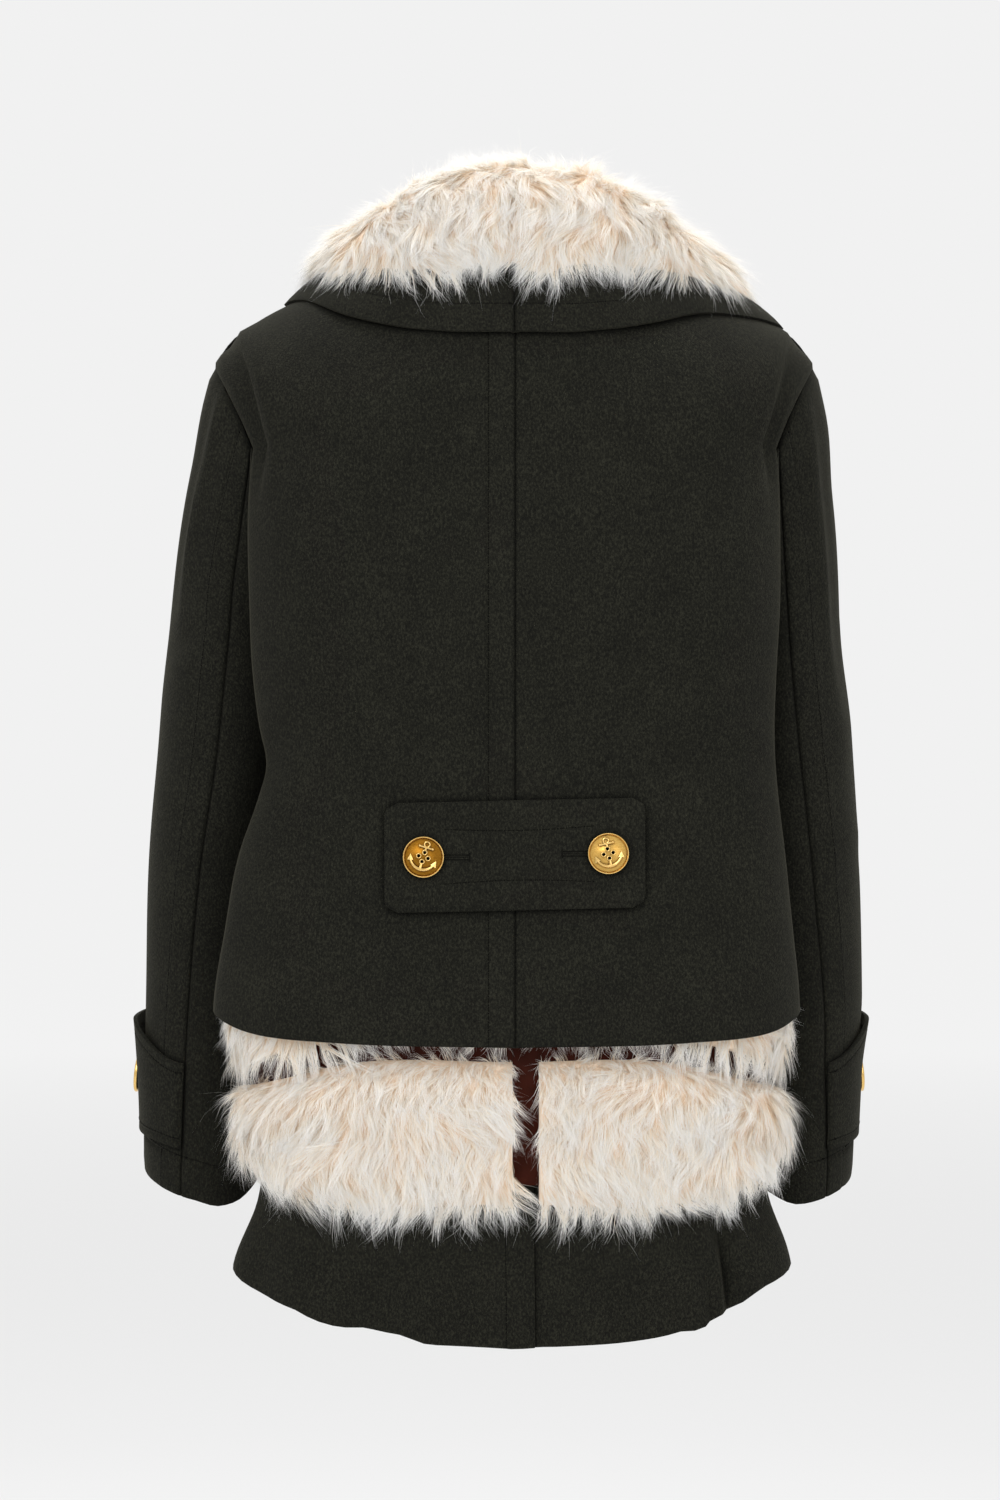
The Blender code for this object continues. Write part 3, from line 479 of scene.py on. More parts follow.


# Faux fur pile: fine acrylic fibres that let light through, cream at the tips; the tan near the backing is
# partly their own tint and partly painted shade deep in the pile
def furPile():
    made, tree, shader, place = newMaterial("furPile")
    strand = addNode(tree, "UVMap", {"uv_map": "strand"})
    fibre = addNode(tree, "SeparateXYZ", {"Vector": strand}, "X")
    upFibre = fibre.node.outputs["Y"]
    # Lighter from root to tip: painted shade deep in the pile over the fibres' own tan, plus each fibre's
    # random tone
    shift = addNode(tree, "Math", {"operation": "MULTIPLY_ADD", 0: fibre, 1: 0.6, 2: upFibre})
    patches = addNode(tree, "TexNoise", {"Scale": perMetre(26), "Vector": place})
    drift = addNode(tree, "Math", {"operation": "MULTIPLY_ADD", 0: patches, 1: 0.5, 2: shift})
    along = addNode(tree, "MapRange", {"From Min": 0.3, "From Max": 1.7, "Value": drift})
    colour = addNode(tree, "ValToRGB", {"Fac": along})
    setRamp(colour, [(0.1, "#f4dcbf"), (0.33, "#fdf3e3"), (0.52, "#fffdf7"), (0.8, "#ffffff")])
    setNode(shader, {"Base Color": colour, "Roughness": 0.62, "Specular IOR Level": 0.3})
    setNode(shader, {"Sheen Weight": 0.3, "Sheen Tint": fromHex("#fff8ee")})
    through = addNode(tree, "BsdfTranslucent", {"Color": colour})
    mixed = addNode(tree, "MixShader", {0: 0.42, 1: shader.outputs["BSDF"], 2: through})
    setNode(tree.nodes["Material Output"], {"Surface": mixed})
    return made


# Dense short pile and knitted backing under the long fibres
def furGround():
    made, tree, shader, place = newMaterial("furGround")
    stretch = addNode(tree, "Mapping", {"Scale": (1, 1, 0.25), "Vector": place})
    short = {"Scale": perMetre(3.0), "Detail": 4.0, "Roughness": 0.7, "Vector": stretch}
    pile = addNode(tree, "TexNoise", short)
    colour = addNode(tree, "ValToRGB", {"Fac": pile})
    setRamp(colour, [(0.3, "#f5dabd"), (0.7, "#fdefdf")])
    relief = addNode(tree, "Bump", {"Strength": 0.9, "Distance": 0.0015, "Height": pile})
    setNode(shader, {"Base Color": colour, "Normal": relief, "Roughness": 0.85, "Sheen Weight": 0.3})
    return made


# Dyed lambskin: satin finish over a fine pebble grain, rubbed lighter in patches
def dyedLeather():
    made, tree, shader, place = newMaterial("dyedLeather")
    pebble = {"Scale": perMetre(1.3), "feature": "DISTANCE_TO_EDGE", "Vector": place}
    grain = addNode(tree, "TexVoronoi", pebble)
    wear = addNode(tree, "TexNoise", {"Scale": perMetre(14), "Detail": 3.0, "Vector": place})
    colour = addNode(tree, "ValToRGB", {"Fac": wear})
    setRamp(colour, [(0.3, "#250b07"), (0.6, "#32120c"), (0.85, "#4a2218")])
    settings = {
        "Base Color": colour,
        "Normal": addNode(tree, "Bump", {"Strength": 0.35, "Distance": 0.0003, "Height": grain}),
        "Roughness": addNode(tree, "MapRange", {"To Min": 0.4, "To Max": 0.55, "Value": wear}),
        "Specular IOR Level": 0.16,
        "Specular Tint": fromHex("#ffb8a0"),
    }
    setNode(shader, settings)
    return made


# Stamped brass: polished on the raised parts, satin and darker in the field, with painted shade in the
# corners
def stampedBrass(name, tones, roughLow, roughHigh):
    made, tree, shader, place = newMaterial(name)
    brushed = addNode(tree, "Mapping", {"Scale": (1, 1, 9), "Vector": place})
    lines = addNode(tree, "TexNoise", {"Scale": perMetre(1.8), "Detail": 3.0, "Vector": brushed})
    colour = addNode(tree, "ValToRGB", {"Fac": lines})
    setRamp(colour, [(0.3, tones[0]), (0.7, tones[1])])
    # Painted shade: ambient occlusion darkens the brass colour in the corners round the relief and rim
    isOpen = addNode(tree, "AmbientOcclusion", {"samples": 6, "Distance": 0.0015}, "AO")
    paintedCornerShade = {"From Min": 0.4, "From Max": 0.95, "To Min": 0.25, "To Max": 1.0, "Value": isOpen}
    paintedShadeScale = {"operation": "SCALE", 0: colour, "Scale": addNode(tree, "MapRange", paintedCornerShade)}
    settings = {
        "Base Color": addNode(tree, "VectorMath", paintedShadeScale),
        "Metallic": 1.0,
        "Roughness": addNode(tree, "MapRange", {"To Min": roughLow, "To Max": roughHigh, "Value": lines}),
    }
    setNode(shader, settings)
    return made


materials = {
    "wool": meltonWool(),
    "thread": sewingThread(),
    "hole": needleHole(),
    "pile": furPile(),
    "ground": furGround(),
    "leather": dyedLeather(),
    "brass": stampedBrass("polishedBrass", ("#d2a552", "#efcf8c"), 0.16, 0.32),
    "field": stampedBrass("satinBrass", ("#754a10", "#a67526"), 0.26, 0.42),
    # A painted highlight: the right button's field is a lighter copy of the same satin brass, for the light
    # it catches
    "paintedLitField": stampedBrass("satinBrassPaintedLit", ("#b5873a", "#dcb566"), 0.26, 0.42),
}
print("materials ready")

# Grid and mesh helpers: a grid holds the points of a piece's outer face, row by row from its bottom
def gridNormals(grid, middle):
    normals = unit(np.cross(np.gradient(grid, axis=1), np.gradient(grid, axis=0)))
    inward = (normals * (grid - middle)).sum() < 0
    return (-normals if inward else normals), inward


def cellAreas(grid):
    return np.linalg.norm(np.cross(np.diff(grid, axis=1)[:-1], np.diff(grid, axis=0)[:, :-1]), axis=2)


# Distance of each point of a grid from the grid's four borders, along the cloth
def borderReach(grid):
    across = np.linalg.norm(np.diff(grid, axis=1), axis=2)
    along = np.linalg.norm(np.diff(grid, axis=0), axis=2)
    left = np.pad(np.cumsum(across, axis=1), ((0, 0), (1, 0)))
    bottom = np.pad(np.cumsum(along, axis=0), ((1, 0), (0, 0)))
    return {"left": left, "right": left[:, -1:] - left, "bottom": bottom, "top": bottom[-1:] - bottom}


def toMesh(work, name):
    mesh = bpy.data.meshes.new(name)
    work.to_mesh(mesh)
    work.free()
    mesh.shade_smooth()
    return mesh


# A UV layer from a pair of values for each vertex
def setUv(mesh, name, pairs):
    corners = np.empty(len(mesh.loops), np.int32)
    mesh.loops.foreach_get("vertex_index", corners)
    mesh.uv_layers.new(name=name).data.foreach_set("uv", pairs.reshape(-1, 2)[corners].ravel())


def gridMesh(name, grid, flip):
    work = bmesh.new()
    rows, columns = grid.shape[:2]
    bmesh.ops.create_grid(work, x_segments=columns - 1, y_segments=rows - 1, size=1)
    for vertex, point in zip(work.verts, grid.reshape(-1, 3) / 1000):
        vertex.co = point
    if flip:
        bmesh.ops.reverse_faces(work, faces=work.faces)
    mesh = toMesh(work, name)
    reach = borderReach(grid)
    setUv(mesh, "cloth", np.stack([reach["left"], reach["bottom"]], axis=-1) / 1000)
    return mesh


def addPiece(name, mesh, materialNames):
    for material in materialNames:
        mesh.materials.append(materials[material])
    made = bpy.data.objects.new(name, mesh)
    bpy.context.scene.collection.objects.link(made)
    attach(made, "root")
    return made


# Even steps over a length, closer together beside the places where seams or stitches sink the cloth
clothStep = 7.0
besideMarks = (-3, -1.6, -0.8, 0, 0.8, 1.6, 3)
closest = 0.55


def stepsOver(length, step=clothStep, marks=()):
    found = list(np.linspace(0, length, max(int(round(length / step)) + 1, 3)))
    for mark in marks:
        found += [mark + away for away in besideMarks if 0 < mark + away < length]
    found = sorted(found)
    kept = [found[0]]
    for value in found[1:]:
        if value - kept[-1] > closest:
            kept.append(value)
    kept[-1] = length
    return np.array(kept) / length


# Folds: soft troughs and ridges on unrolled cloth. Each runs from a start to an end and fades out at both,
# and has a softer one of the other kind beside it.
foldLook = {
    "fadeIn": (-0.08, 0.3),
    "fadeOut": (0.62, 1.08),
    "besideAt": 1.7,
    "besideWidth": 1.3,
    "beside": 0.4,
}


def foldRelief(folds, side, across, z):
    total = np.zeros(across.shape)
    for which, startAcross, startZ, endAcross, endZ, height, width, bow in folds:
        if which != side:
            continue
        runAcross = endAcross - startAcross
        runZ = endZ - startZ
        length = math.hypot(runAcross, runZ)
        t = ((across - startAcross) * runAcross + (z - startZ) * runZ) / length**2
        away = ((across - startAcross) * runZ - (z - startZ) * runAcross) / length
        away = away - bow * 4 * t * (1 - t)
        fade = smoothStep(*foldLook["fadeIn"], t) * (1 - smoothStep(*foldLook["fadeOut"], t))
        beside = bell(away, foldLook["besideAt"] * width, foldLook["besideWidth"] * width)
        total += height * fade * (bell(away, 0, width) - foldLook["beside"] * beside)
    return total


# Cloth sinks at its seams and under its rows of stitches, and is fuller over a seam allowance
seamLook = {
    "dip": 2.2,
    "dipWidth": 1.3,
    "stitchDip": 0.5,
    "stitchWidth": 1.0,
    "allowance": 0.5,
    "lap": 0.6,
    "fade": 9,
}


def seamRelief(reach, seams, rows):
    total = np.zeros(reach["left"].shape)
    for border in seams:
        total -= seamLook["dip"] * bell(reach[border], 0, seamLook["dipWidth"])
    for border, distance in rows:
        total -= seamLook["stitchDip"] * bell(reach[border], distance, seamLook["stitchWidth"])
        inside = smoothStep(0, 4, reach[border]) * (1 - smoothStep(distance - 3, distance, reach[border]))
        total += seamLook["allowance"] * inside
    return total


# Where the worn coat sits fuller, longer or shorter than its even form. Each move grows from the first to
# the second x and z. The columns: x from and to, z from and to, then how far out and up.
coatMoves = (
    (-180, -220, 10, -50, -4.4, 0),
    (-180, -220, -70, -120, 2.6, 0),
    (-180, -220, -220, -290, -2.2, 0),
    (190, 225, 10, -50, 5.0, 0),
    (190, 225, -80, -140, -4.6, 0),
    (190, 225, -240, -310, 3.6, 0),
    (200, 235, -500, -560, -4.6, 0),
    (-105, -150, -130, -50, 0, 3.2),
    (-200, -228, -130, -50, 0, -2.2),
    (105, 150, -130, -50, 0, 2.6),
    (200, 228, -130, -50, 0, -1.6),
    (-205, -262, -560, -640, 0, 9.0),
    (175, 240, -560, -640, 0, 8.5),
    (-226, -206, -560, -640, 0, -4.0),
    (-200, -178, -560, -640, 0, 9.0),
    (204, 176, -560, -640, 0, 9.0),
)
skirtMoves = (
    (-140, -192, -585, -690, -9.0, 0),
    (140, 192, -585, -680, 7.0, 0),
    (-150, -60, -640, -740, 0, -3.5),
    (-75, -150, -600, -700, 0, 5.0),
    (-58, -82, -640, -740, 0, 5.5),
    (-100, -125, -640, -740, 0, -9.5),
    (-138, -155, -640, -740, 0, 4.0),
    (60, 150, -640, -740, 0, 3.5),
    (100, 165, -600, -700, 0, 8.0),
    (112, 130, -640, -740, 0, -4.5),
    (150, 172, -640, -740, 0, 9.0),
)
collarMoves = ((-115, -180, -400, -300, 15.0, 8.0), (120, 180, -400, -300, 13.0, -9.0))
collarFurMoves = ((-115, -180, -400, -300, 15.0, 8.0), (120, 180, -400, -300, 5.0, -7.0))


def settled(points, moves):
    x = points[..., 0]
    z = points[..., 2]
    found = points.copy()
    for fromX, toX, fromZ, toZ, out, up in moves:
        share = smoothStep(fromX, toX, x) * smoothStep(fromZ, toZ, z)
        found[..., 0] += out * share
        found[..., 2] += up * share
    return found


# Sewn borders go a little past the seam line, so that no light comes through between two pieces
def lappedSeams(grid, seams):
    lapped = grid.copy()
    for border in seams:
        turned = np.swapaxes(lapped, 0, 1) if border in ("left", "right") else lapped
        edge, inside = (0, 1) if border in ("left", "bottom") else (-1, -2)
        turned[edge] += unit(turned[edge] - turned[inside]) * seamLook["lap"]
    return lapped


# A panel with its seams, rows of stitches and folds, settled as it is worn
def dressed(grid, middle, side, across, folds, seams, rows, moves, foldsFade=True):
    grid = lappedSeams(grid, seams)
    normals = gridNormals(grid, middle)[0]
    reach = borderReach(grid)
    folded = foldRelief(folds, side, np.broadcast_to(across, grid.shape[:2]), grid[..., 2])
    for border in seams if foldsFade else ():
        folded = folded * smoothStep(0, seamLook["fade"], reach[border])
    return settled(grid + normals * (seamRelief(reach, seams, rows) + folded)[..., None], moves)


# Rows of stitches: the path of each row, kept by the name of its stitch piece
rowsOf = {}
stitchLook = {
    "pitch": 5.8,
    "length": 3.7,
    "radius": 0.4,
    "hole": 0.62,
    "holeLength": 2.2,
    "sunk": (-0.12, -0.28),
}


def readAlong(at, gone, values):
    return np.stack([np.interp(at, gone, values[:, axis]) for axis in range(3)], axis=-1)


# Path of a row of stitches along a grid, at a distance from one of its borders
def rowPath(grid, normals, border, distance, first=0.0, last=1.0):
    reach = borderReach(grid)[border]
    if border in ("top", "bottom"):
        grid, normals, reach = np.swapaxes(grid, 0, 1), np.swapaxes(normals, 0, 1), reach.T
    points = []
    outs = []
    for line, out, gone in zip(grid, normals, reach):
        order = np.argsort(gone)
        points.append(readAlong(distance, gone[order], line[order]))
        outs.append(readAlong(distance, gone[order], out[order]))
    start = int(first * (len(points) - 1))
    stop = int(math.ceil(last * (len(points) - 1))) + 1
    return np.array(points)[start:stop], unit(np.array(outs)[start:stop])


# Frames of a row's stitches: middle, direction along the row, and out of the cloth
def rowFrames(path, outs, pitch):
    gone = np.concatenate([[0], np.cumsum(np.linalg.norm(np.diff(path, axis=0), axis=1))])
    count = int(gone[-1] / pitch)
    at = (np.arange(count) + 0.5) * gone[-1] / count
    along = unit(readAlong(at + 1, gone, path) - readAlong(at - 1, gone, path))
    return readAlong(at, gone, path), along, unit(readAlong(at, gone, outs))


# One low thread capsule or needle hole, from a bmesh shape, in millimetres: x along, z out
def stitchShape(length, radius):
    work = bmesh.new()
    bmesh.ops.create_uvsphere(work, u_segments=5, v_segments=3, radius=radius)
    for vertex in work.verts:
        turned = Vector((vertex.co.z, vertex.co.y, vertex.co.x))
        turned.x = turned.x + math.copysign(length / 2 - radius, turned.x) if abs(turned.x) > 1e-6 else 0
        vertex.co = turned
    bmesh.ops.recalc_face_normals(work, faces=work.faces)
    mesh = toMesh(work, "stitchShape")
    points = np.array([vertex.co[:] for vertex in mesh.vertices])
    faces = [list(face.vertices) for face in mesh.polygons]
    bpy.data.meshes.remove(mesh)
    return points, faces


# Copies of a small shape at many frames, joined as one mesh
def scatterShape(shape, frames, depth):
    points, faces = shape
    middle, along, out = frames
    across = unit(np.cross(out, along))
    out = unit(np.cross(along, across))
    basis = np.stack([along, across, out], axis=1)
    placed = np.einsum("pk,nkc->npc", points, basis) + (middle + out * depth)[:, None]
    count = len(points)
    joined = [[corner + count * copy for corner in face] for copy in range(len(middle)) for face in faces]
    return placed.reshape(-1, 3), joined


threadShape = stitchShape(stitchLook["length"], stitchLook["radius"])
holeShape = stitchShape(stitchLook["hole"] * stitchLook["holeLength"], stitchLook["hole"])


def stitchPiece(name, paths):
    points = []
    faces = []
    kinds = []
    for path, outs in paths:
        middle, along, out = rowFrames(path, outs, stitchLook["pitch"])
        ends = middle + along * stitchLook["pitch"] / 2
        for kind, (shape, at) in enumerate(((threadShape, middle), (holeShape, ends))):
            placed, joined = scatterShape(shape, (at, along, out), stitchLook["sunk"][kind])
            offset = sum(len(part) for part in points)
            points.append(placed)
            faces += [[corner + offset for corner in face] for face in joined]
            kinds += [kind] * len(joined)
    mesh = bpy.data.meshes.new(name)
    mesh.from_pydata([tuple(point) for point in np.concatenate(points) / 1000], [], faces)
    mesh.shade_smooth()
    addPiece(name, mesh, ["thread", "hole"])
    mesh.polygons.foreach_set("material_index", kinds)


# A cloth piece from the grid of its outer face, with a wall behind it, softened edges and stitches
def clothPiece(
    name, node, grid, middle, thick=wall, edge=0.9, look="wool", held="hung", on=(), rows=(), rowsName=""
):
    normals, flip = gridNormals(grid, middle)
    piece = addPiece(name, gridMesh(name, grid, flip), [look])
    solid = piece.modifiers.new("wall", "SOLIDIFY")
    solid.thickness = thick / 1000
    solid.offset = -1
    solid.use_quality_normals = True
    round_ = piece.modifiers.new("edge", "BEVEL")
    round_.width = edge / 1000
    round_.segments = 2
    round_.limit_method = "ANGLE"
    round_.angle_limit = math.radians(55)
    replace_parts(piece, node)
    for row in rows:
        rowsOf.setdefault(rowsName, []).append(rowPath(grid, normals, *row))


# Outer layer. The folds' columns: side, start across and z, end across and z, height, width and bow.
shellFolds = (
    (-1, 195, -20, 197, -150, -8.0, 7, 2),
    (-1, 172, -300, 215, -500, 2.2, 22, 6),
    (1, 193, -22, 195, -152, -7.0, 7, -2),
    (1, 168, -330, 210, -500, 1.8, 24, 5),
    (-1, 205, -330, 120, -300, -2.2, 12, 8),
    (1, 200, -340, 130, -318, -2.0, 10, 6),
    (-1, 40, -180, 90, -330, 0.7, 26, 10),
    (1, 60, -230, 105, -400, -0.6, 22, -8),
    (-1, 420, -200, 480, -340, -1.4, 18, 10),
    (1, 400, -230, 470, -380, 1.3, 20, 8),
    (-1, 300, -240, 260, -420, -1.5, 14, 6),
    (1, 290, -250, 300, -430, 1.2, 16, -5),
)
shellMiddle = np.array([0.0, 0.0, -300.0])
seamAllowance = 20.0
unrolled = ((0, 1, 2, 3), (0, 220, 350, 590))  # places round the body, and their distances round it
backWidth = 220
sideWidth = 130
frontWidth = 275
shellFalls = stepsOver(416)[::-1, None]
shellRows = np.concatenate([-shellFalls, stepsOver(120)[1:, None]])
lapReach = 35.0
lapFade = (50, 75)


def shellPoint(side, place, row):
    place, row = np.broadcast_arrays(place, row)
    above = upperPoint(side, place, np.maximum(row, 0))
    below = lowerPoint(side, place, np.maximum(-row, 0))
    return np.where((row > 0)[..., None], above, below)


# One panel of the outer layer. The right front is raised where it laps over the left.
def shellPanel(side, area, grid, steps, seams, rows):
    nodeSide = sides[side]
    across = np.interp(steps, *unrolled)
    grid = dressed(grid, shellMiddle, side, across, shellFolds, seams, rows, coatMoves)
    if area == "front" and side > 0:
        raised = (wall + lapGap) * (1 - smoothStep(*lapFade, grid[..., 0]))
        grid = grid + gridNormals(grid, shellMiddle)[0] * raised[..., None]
    name = f"{area}Panel"
    on = [f"shell_front_{nodeSide}" if area == "back" else f"shell_back_{nodeSide}"]
    node = f"shell_{area}_{nodeSide}"
    clothPiece(name + nodeSide.title(), node, grid, shellMiddle, on=on, rows=rows, rowsName=name)


edgeRow = [("left", seamAllowance)]
for side in sides:
    steps = stepsOver(backWidth, marks=(0, seamAllowance) if side < 0 else (0,))
    grid = shellPoint(side, steps, shellRows)
    shellPanel(side, "back", grid, steps, ("left", "right"), edgeRow if side < 0 else [])
    steps = 1 + stepsOver(sideWidth)
    shellPanel(side, "side", lowerPoint(side, steps, shellFalls), steps, ("left", "right", "top"), [])
    frontEdge = placeAt(side, -side * lapReach, armLevel, True)
    steps = frontEdge - (frontEdge - 2) * stepsOver(frontWidth, marks=(seamAllowance,))
    rows = edgeRow if side > 0 else []
    shellPanel(side, "front", shellPoint(side, steps, shellRows), steps, ("right",), rows)
print("outer layer made")

# Sleeves: an upper and an under piece, with the elbow seam at the back. The folds' columns are as above,
# with the degrees round the sleeve for across.
sleeveFolds = (
    (-1, 30, -330, 115, -375, -1.5, 11, 6),
    (-1, 60, -395, 140, -420, 1.3, 13, -5),
    (-1, 20, -250, 80, -225, -1.2, 9, 4),
    (1, 40, -300, 120, -345, -1.4, 12, 7),
    (1, 10, -380, 90, -410, 1.5, 10, -5),
    (1, 60, -430, 130, -450, -1.1, 9, 4),
    (-1, 150, -360, 230, -395, -2.4, 10, 8),
    (1, 170, -350, 240, -400, -2.2, 11, -7),
    (-1, 260, -330, 330, -390, 1.8, 12, 6),
    (1, 280, -340, 330, -400, 1.7, 12, 6),
    (-1, 52, -50, 40, -240, 3.4, 7, 3),
    (1, 50, -60, 44, -300, 3.0, 8, -3),
)
# From and to in degrees, and the width
sleeveParts = {"upper": (-112.5, 90.0, 205), "under": (90.0, 247.5, 150)}
elbowShift = {-1: (6.0, 1.3, 0.28), 1: (-9.5, 1.98, 0.28)}  # degrees, then the middle and spread in drops
elbowSpan = 80
headLength = 150
sleeveLength = 416
cuffRow = 29.0
bodyDrops = 1 + stepsOver(sleeveLength, marks=(sleeveLength - cuffRow,))[1:]
sleeveDrops = np.concatenate([stepsOver(headLength), bodyDrops])[::-1, None]
for side, nodeSide in sides.items():
    sleeveMiddle = np.array([side * 205.0, 30.0, -400.0])
    most, middle, spread = elbowShift[side]
    along = bell(sleeveDrops, middle, spread)
    for part, (first, last, width) in sleeveParts.items():
        upper = part == "upper"
        marks = (width - seamAllowance, width) if upper else (0,)
        turns = first + (last - first) * stepsOver(width, marks=marks)
        atElbow = np.clip(1 - np.abs(turns - 90) / elbowSpan, 0, 1)
        grid = sleevePoint(side, turns + most * atElbow * along, sleeveDrops)
        rows = [("bottom", cuffRow)] + ([("right", seamAllowance)] if upper else [])
        seams = ("left", "right", "top")
        grid = dressed(grid, sleeveMiddle, side, turns % 360, sleeveFolds, seams, rows, coatMoves, False)
        name = f"{part}Sleeve{nodeSide.title()}"
        on = [f"shell_back_{nodeSide}", f"shell_front_{nodeSide}"]
        rowsName = "sleeve" + nodeSide.title()
        node = f"sleeve_{part}_{nodeSide}"
        clothPiece(name, node, grid, sleeveMiddle, on=on, rows=rows, rowsName=rowsName)
print("sleeves made")

# Skirt layer inside the outer one, open in a vent at the centre back
skirtTopRow = 7
skirtTop = float(rowZ(0, skirtTopRow))
skirtDepth = 20.0
skirtSeam = 1.5
ventReach = 13.0
ventUnder = 22.0
ventFade = (16, 36)
skirtFolds = (
    (-1, 60, -640, 64, -745, 2.5, 16, 2),
    (-1, 95, -650, 90, -750, -2.5, 13, -2),
    (1, 70, -640, 66, -745, -1.5, 17, 3),
    (1, 105, -650, 98, -750, 1.5, 12, 2),
    (1, 143, -625, 163, -775, -8.0, 5, 2),
    (1, 134, -625, 152, -775, 5.0, 5, 2),
    (-1, 440, -560, 470, -720, 1.5, 18, 4),
    (1, 400, -570, 420, -720, -1.5, 18, -4),
)

# The skirt's main folds, as its solid has them: side, place, height above or below 0, and width
mainFolds = (
    (-1, 0.42, 3.0, 14),
    (-1, 0.53, -5.0, 13),
    (-1, 0.8, -3.5, 17),
    (-1, 1.25, 4.0, 16),
    (-1, 1.62, -4.0, 15),
    (-1, 2.32, 3.5, 20),
    (-1, 2.45, -3.5, 18),
    (1, 0.55, 4.0, 12),
    (1, 0.655, -7.0, 11),
    (1, 0.9, 3.0, 19),
    (1, 1.38, -4.0, 16),
    (1, 1.75, 4.0, 15),
    (1, 2.3, 3.0, 19),
    (1, 2.45, -3.5, 18),
)
mainFoldsZ = (-600.0, -720.0)  # where they start, and where they are full
lengthRound = ((0, 1, 2, 3), (0, 230, 350, 590))


def foldOut(side, place, z):
    place, z = np.broadcast_arrays(np.asarray(place, float), np.asarray(z, float))
    crossed, folded = ownHalf(place)
    here = np.interp(folded, *lengthRound)
    own = np.where(crossed, -side, side)
    total = np.zeros(place.shape)
    for foldSide, foldPlace, height, width in mainFolds:
        total += np.where(own == foldSide, height * bell(here, np.interp(foldPlace, *lengthRound), width), 0)
    return total * smoothStep(*mainFoldsZ, z)


def skirtInset(side, place, z):
    closeness = np.clip((skirtTop - z) / (skirtTop - hemZ("shell", 0)), 0.0, 1.0)
    return wall + 2 * gap + skirtDepth * closeness - foldOut(side, place, z)


skirtDrops = stepsOver(356)[::-1, None]
for side, nodeSide in sides.items():
    backEdge = placeAt(side, ventReach if side < 0 else -ventUnder, armLevel)
    frontEdge = placeAt(side, -side * lapReach, armLevel, True)
    marks = (seamAllowance,) if side < 0 else ()
    backSteps = backEdge + (skirtSeam - backEdge) * stepsOver(300, marks=marks)
    frontSteps = frontEdge - (frontEdge - skirtSeam) * stepsOver(340)
    for area, steps in (("back", backSteps), ("front", frontSteps)):
        top = rowZ(steps, skirtTopRow)
        z = top + (hemZ("skirt", steps) - top) * skirtDrops
        inset = skirtInset(side, steps, z)
        x = formPoint(side, steps, z)[..., 0] * side
        if area == "back" and side > 0:
            inset = inset + (wall + gap) * (1 - smoothStep(*ventFade, x))
        if area == "front" and side < 0:
            inset = inset + (wall + lapGap) * (1 - smoothStep(*lapFade, x))
        rows = edgeRow if area == "back" and side < 0 else []
        across = np.interp(steps, *unrolled)
        grid = formInset(side, steps, z, inset)
        grid = dressed(grid, shellMiddle, side, across, skirtFolds, ("right",), rows, skirtMoves)
        name = f"skirt{area.title()}{nodeSide.title()}"
        on = ["shell_back_left"]
        node = f"skirt_{area}_{nodeSide}"
        clothPiece(name, node, grid, shellMiddle, on=on, rows=rows, rowsName="skirtVent")
print("skirt layer made")

# Leather strips between the fur tiers and down the centre back
strip = {
    "left": -2.0,
    "right": 18.0,
    "front": 50,
    "thick": 1.5,
    "topZ": -519.0,
    "height": 18.0,
    "bottomZ": -622.0,
}
stripLevel = -580
layerGap = 0.5
leatherLook = {"thick": strip["thick"], "edge": 0.4, "look": "leather", "held": "laid"}


# A strip is a little fuller along its middle
def stripGrid(side, places, z, shares, crown):
    full = crown * np.sin(math.pi * np.clip(shares, 0.02, 0.98)) ** 0.5
    return formInset(side, places, z, skirtInset(side, places, z) - layerGap - strip["thick"] - full)


tierEdges = {}
for side, nodeSide in sides.items():
    tierEdges[side] = {
        "back": placeAt(side, strip["left"] if side < 0 else strip["right"], stripLevel),
        "front": placeAt(side, side * strip["front"], stripLevel, True),
    }
    for area, first in tierEdges[side].items():
        places = np.linspace(first, skirtSeam, 52)
        drops = np.linspace(1, 0, 7)[:, None]
        topZ = strip["topZ"] - hemZ("stripDip", places)
        z = topZ - strip["height"] * drops
        grid = stripGrid(side, places, z, drops, 0.5)
        on = [f"skirt_{area}_{nodeSide}"]
        name = f"{area}Strip{nodeSide.title()}"
        clothPiece(name, f"strip_{area}_{nodeSide}", grid, shellMiddle, on=on, **leatherLook)
places = np.linspace(*[placeAt(1, strip[edge], stripLevel) for edge in ("left", "right")], 12)
z = strip["topZ"] + (strip["bottomZ"] - strip["topZ"]) * np.linspace(1, 0, 30)[:, None]
grid = stripGrid(1, places, z, np.linspace(0.02, 0.98, 12), 0.9)
on = ["skirt_back_left", "skirt_back_right"]
clothPiece("centreStrip", "strip_centre", grid, shellMiddle, on=on, **leatherLook)
print("leather made")

# Half belt across the back waist, with rounded corners
tab = {
    "half": 89.5,
    "top": -356.5,
    "bottom": -432.5,
    "round": 9.0,
    "thick": 3.4,
    "lift": 1.3,
    "tilt": 4.0 / 179.0,
}
tabRow = {"from": 21.0, "dip": 0.45, "width": 1.0, "ends": (34, 40), "shares": (0.24, 0.8)}
fineStep = 4.0


def tabPoint(share, drop, out):
    z = tab["top"] + (tab["bottom"] - tab["top"]) * drop
    nearEnd = np.maximum(tab["round"] - np.minimum(tab["top"] - z, z - tab["bottom"]), 0.0)
    half = tab["half"] - (tab["round"] - np.sqrt(tab["round"] ** 2 - nearEnd**2))
    x = half * share
    points = np.zeros(x.shape + (3,))
    for side in sides:
        place = np.zeros(x.shape)
        for row in range(x.shape[0]):
            xs, ys, places = section(side, float(z[row, 0]))
            place[row] = np.interp(np.abs(x[row]), xs[: len(xs) // 2], places[: len(xs) // 2])
        found = formInset(side, place, z + x * tab["tilt"], -out * np.ones(x.shape))
        points = np.where((x * side >= 0)[..., None], found, points)
    return points


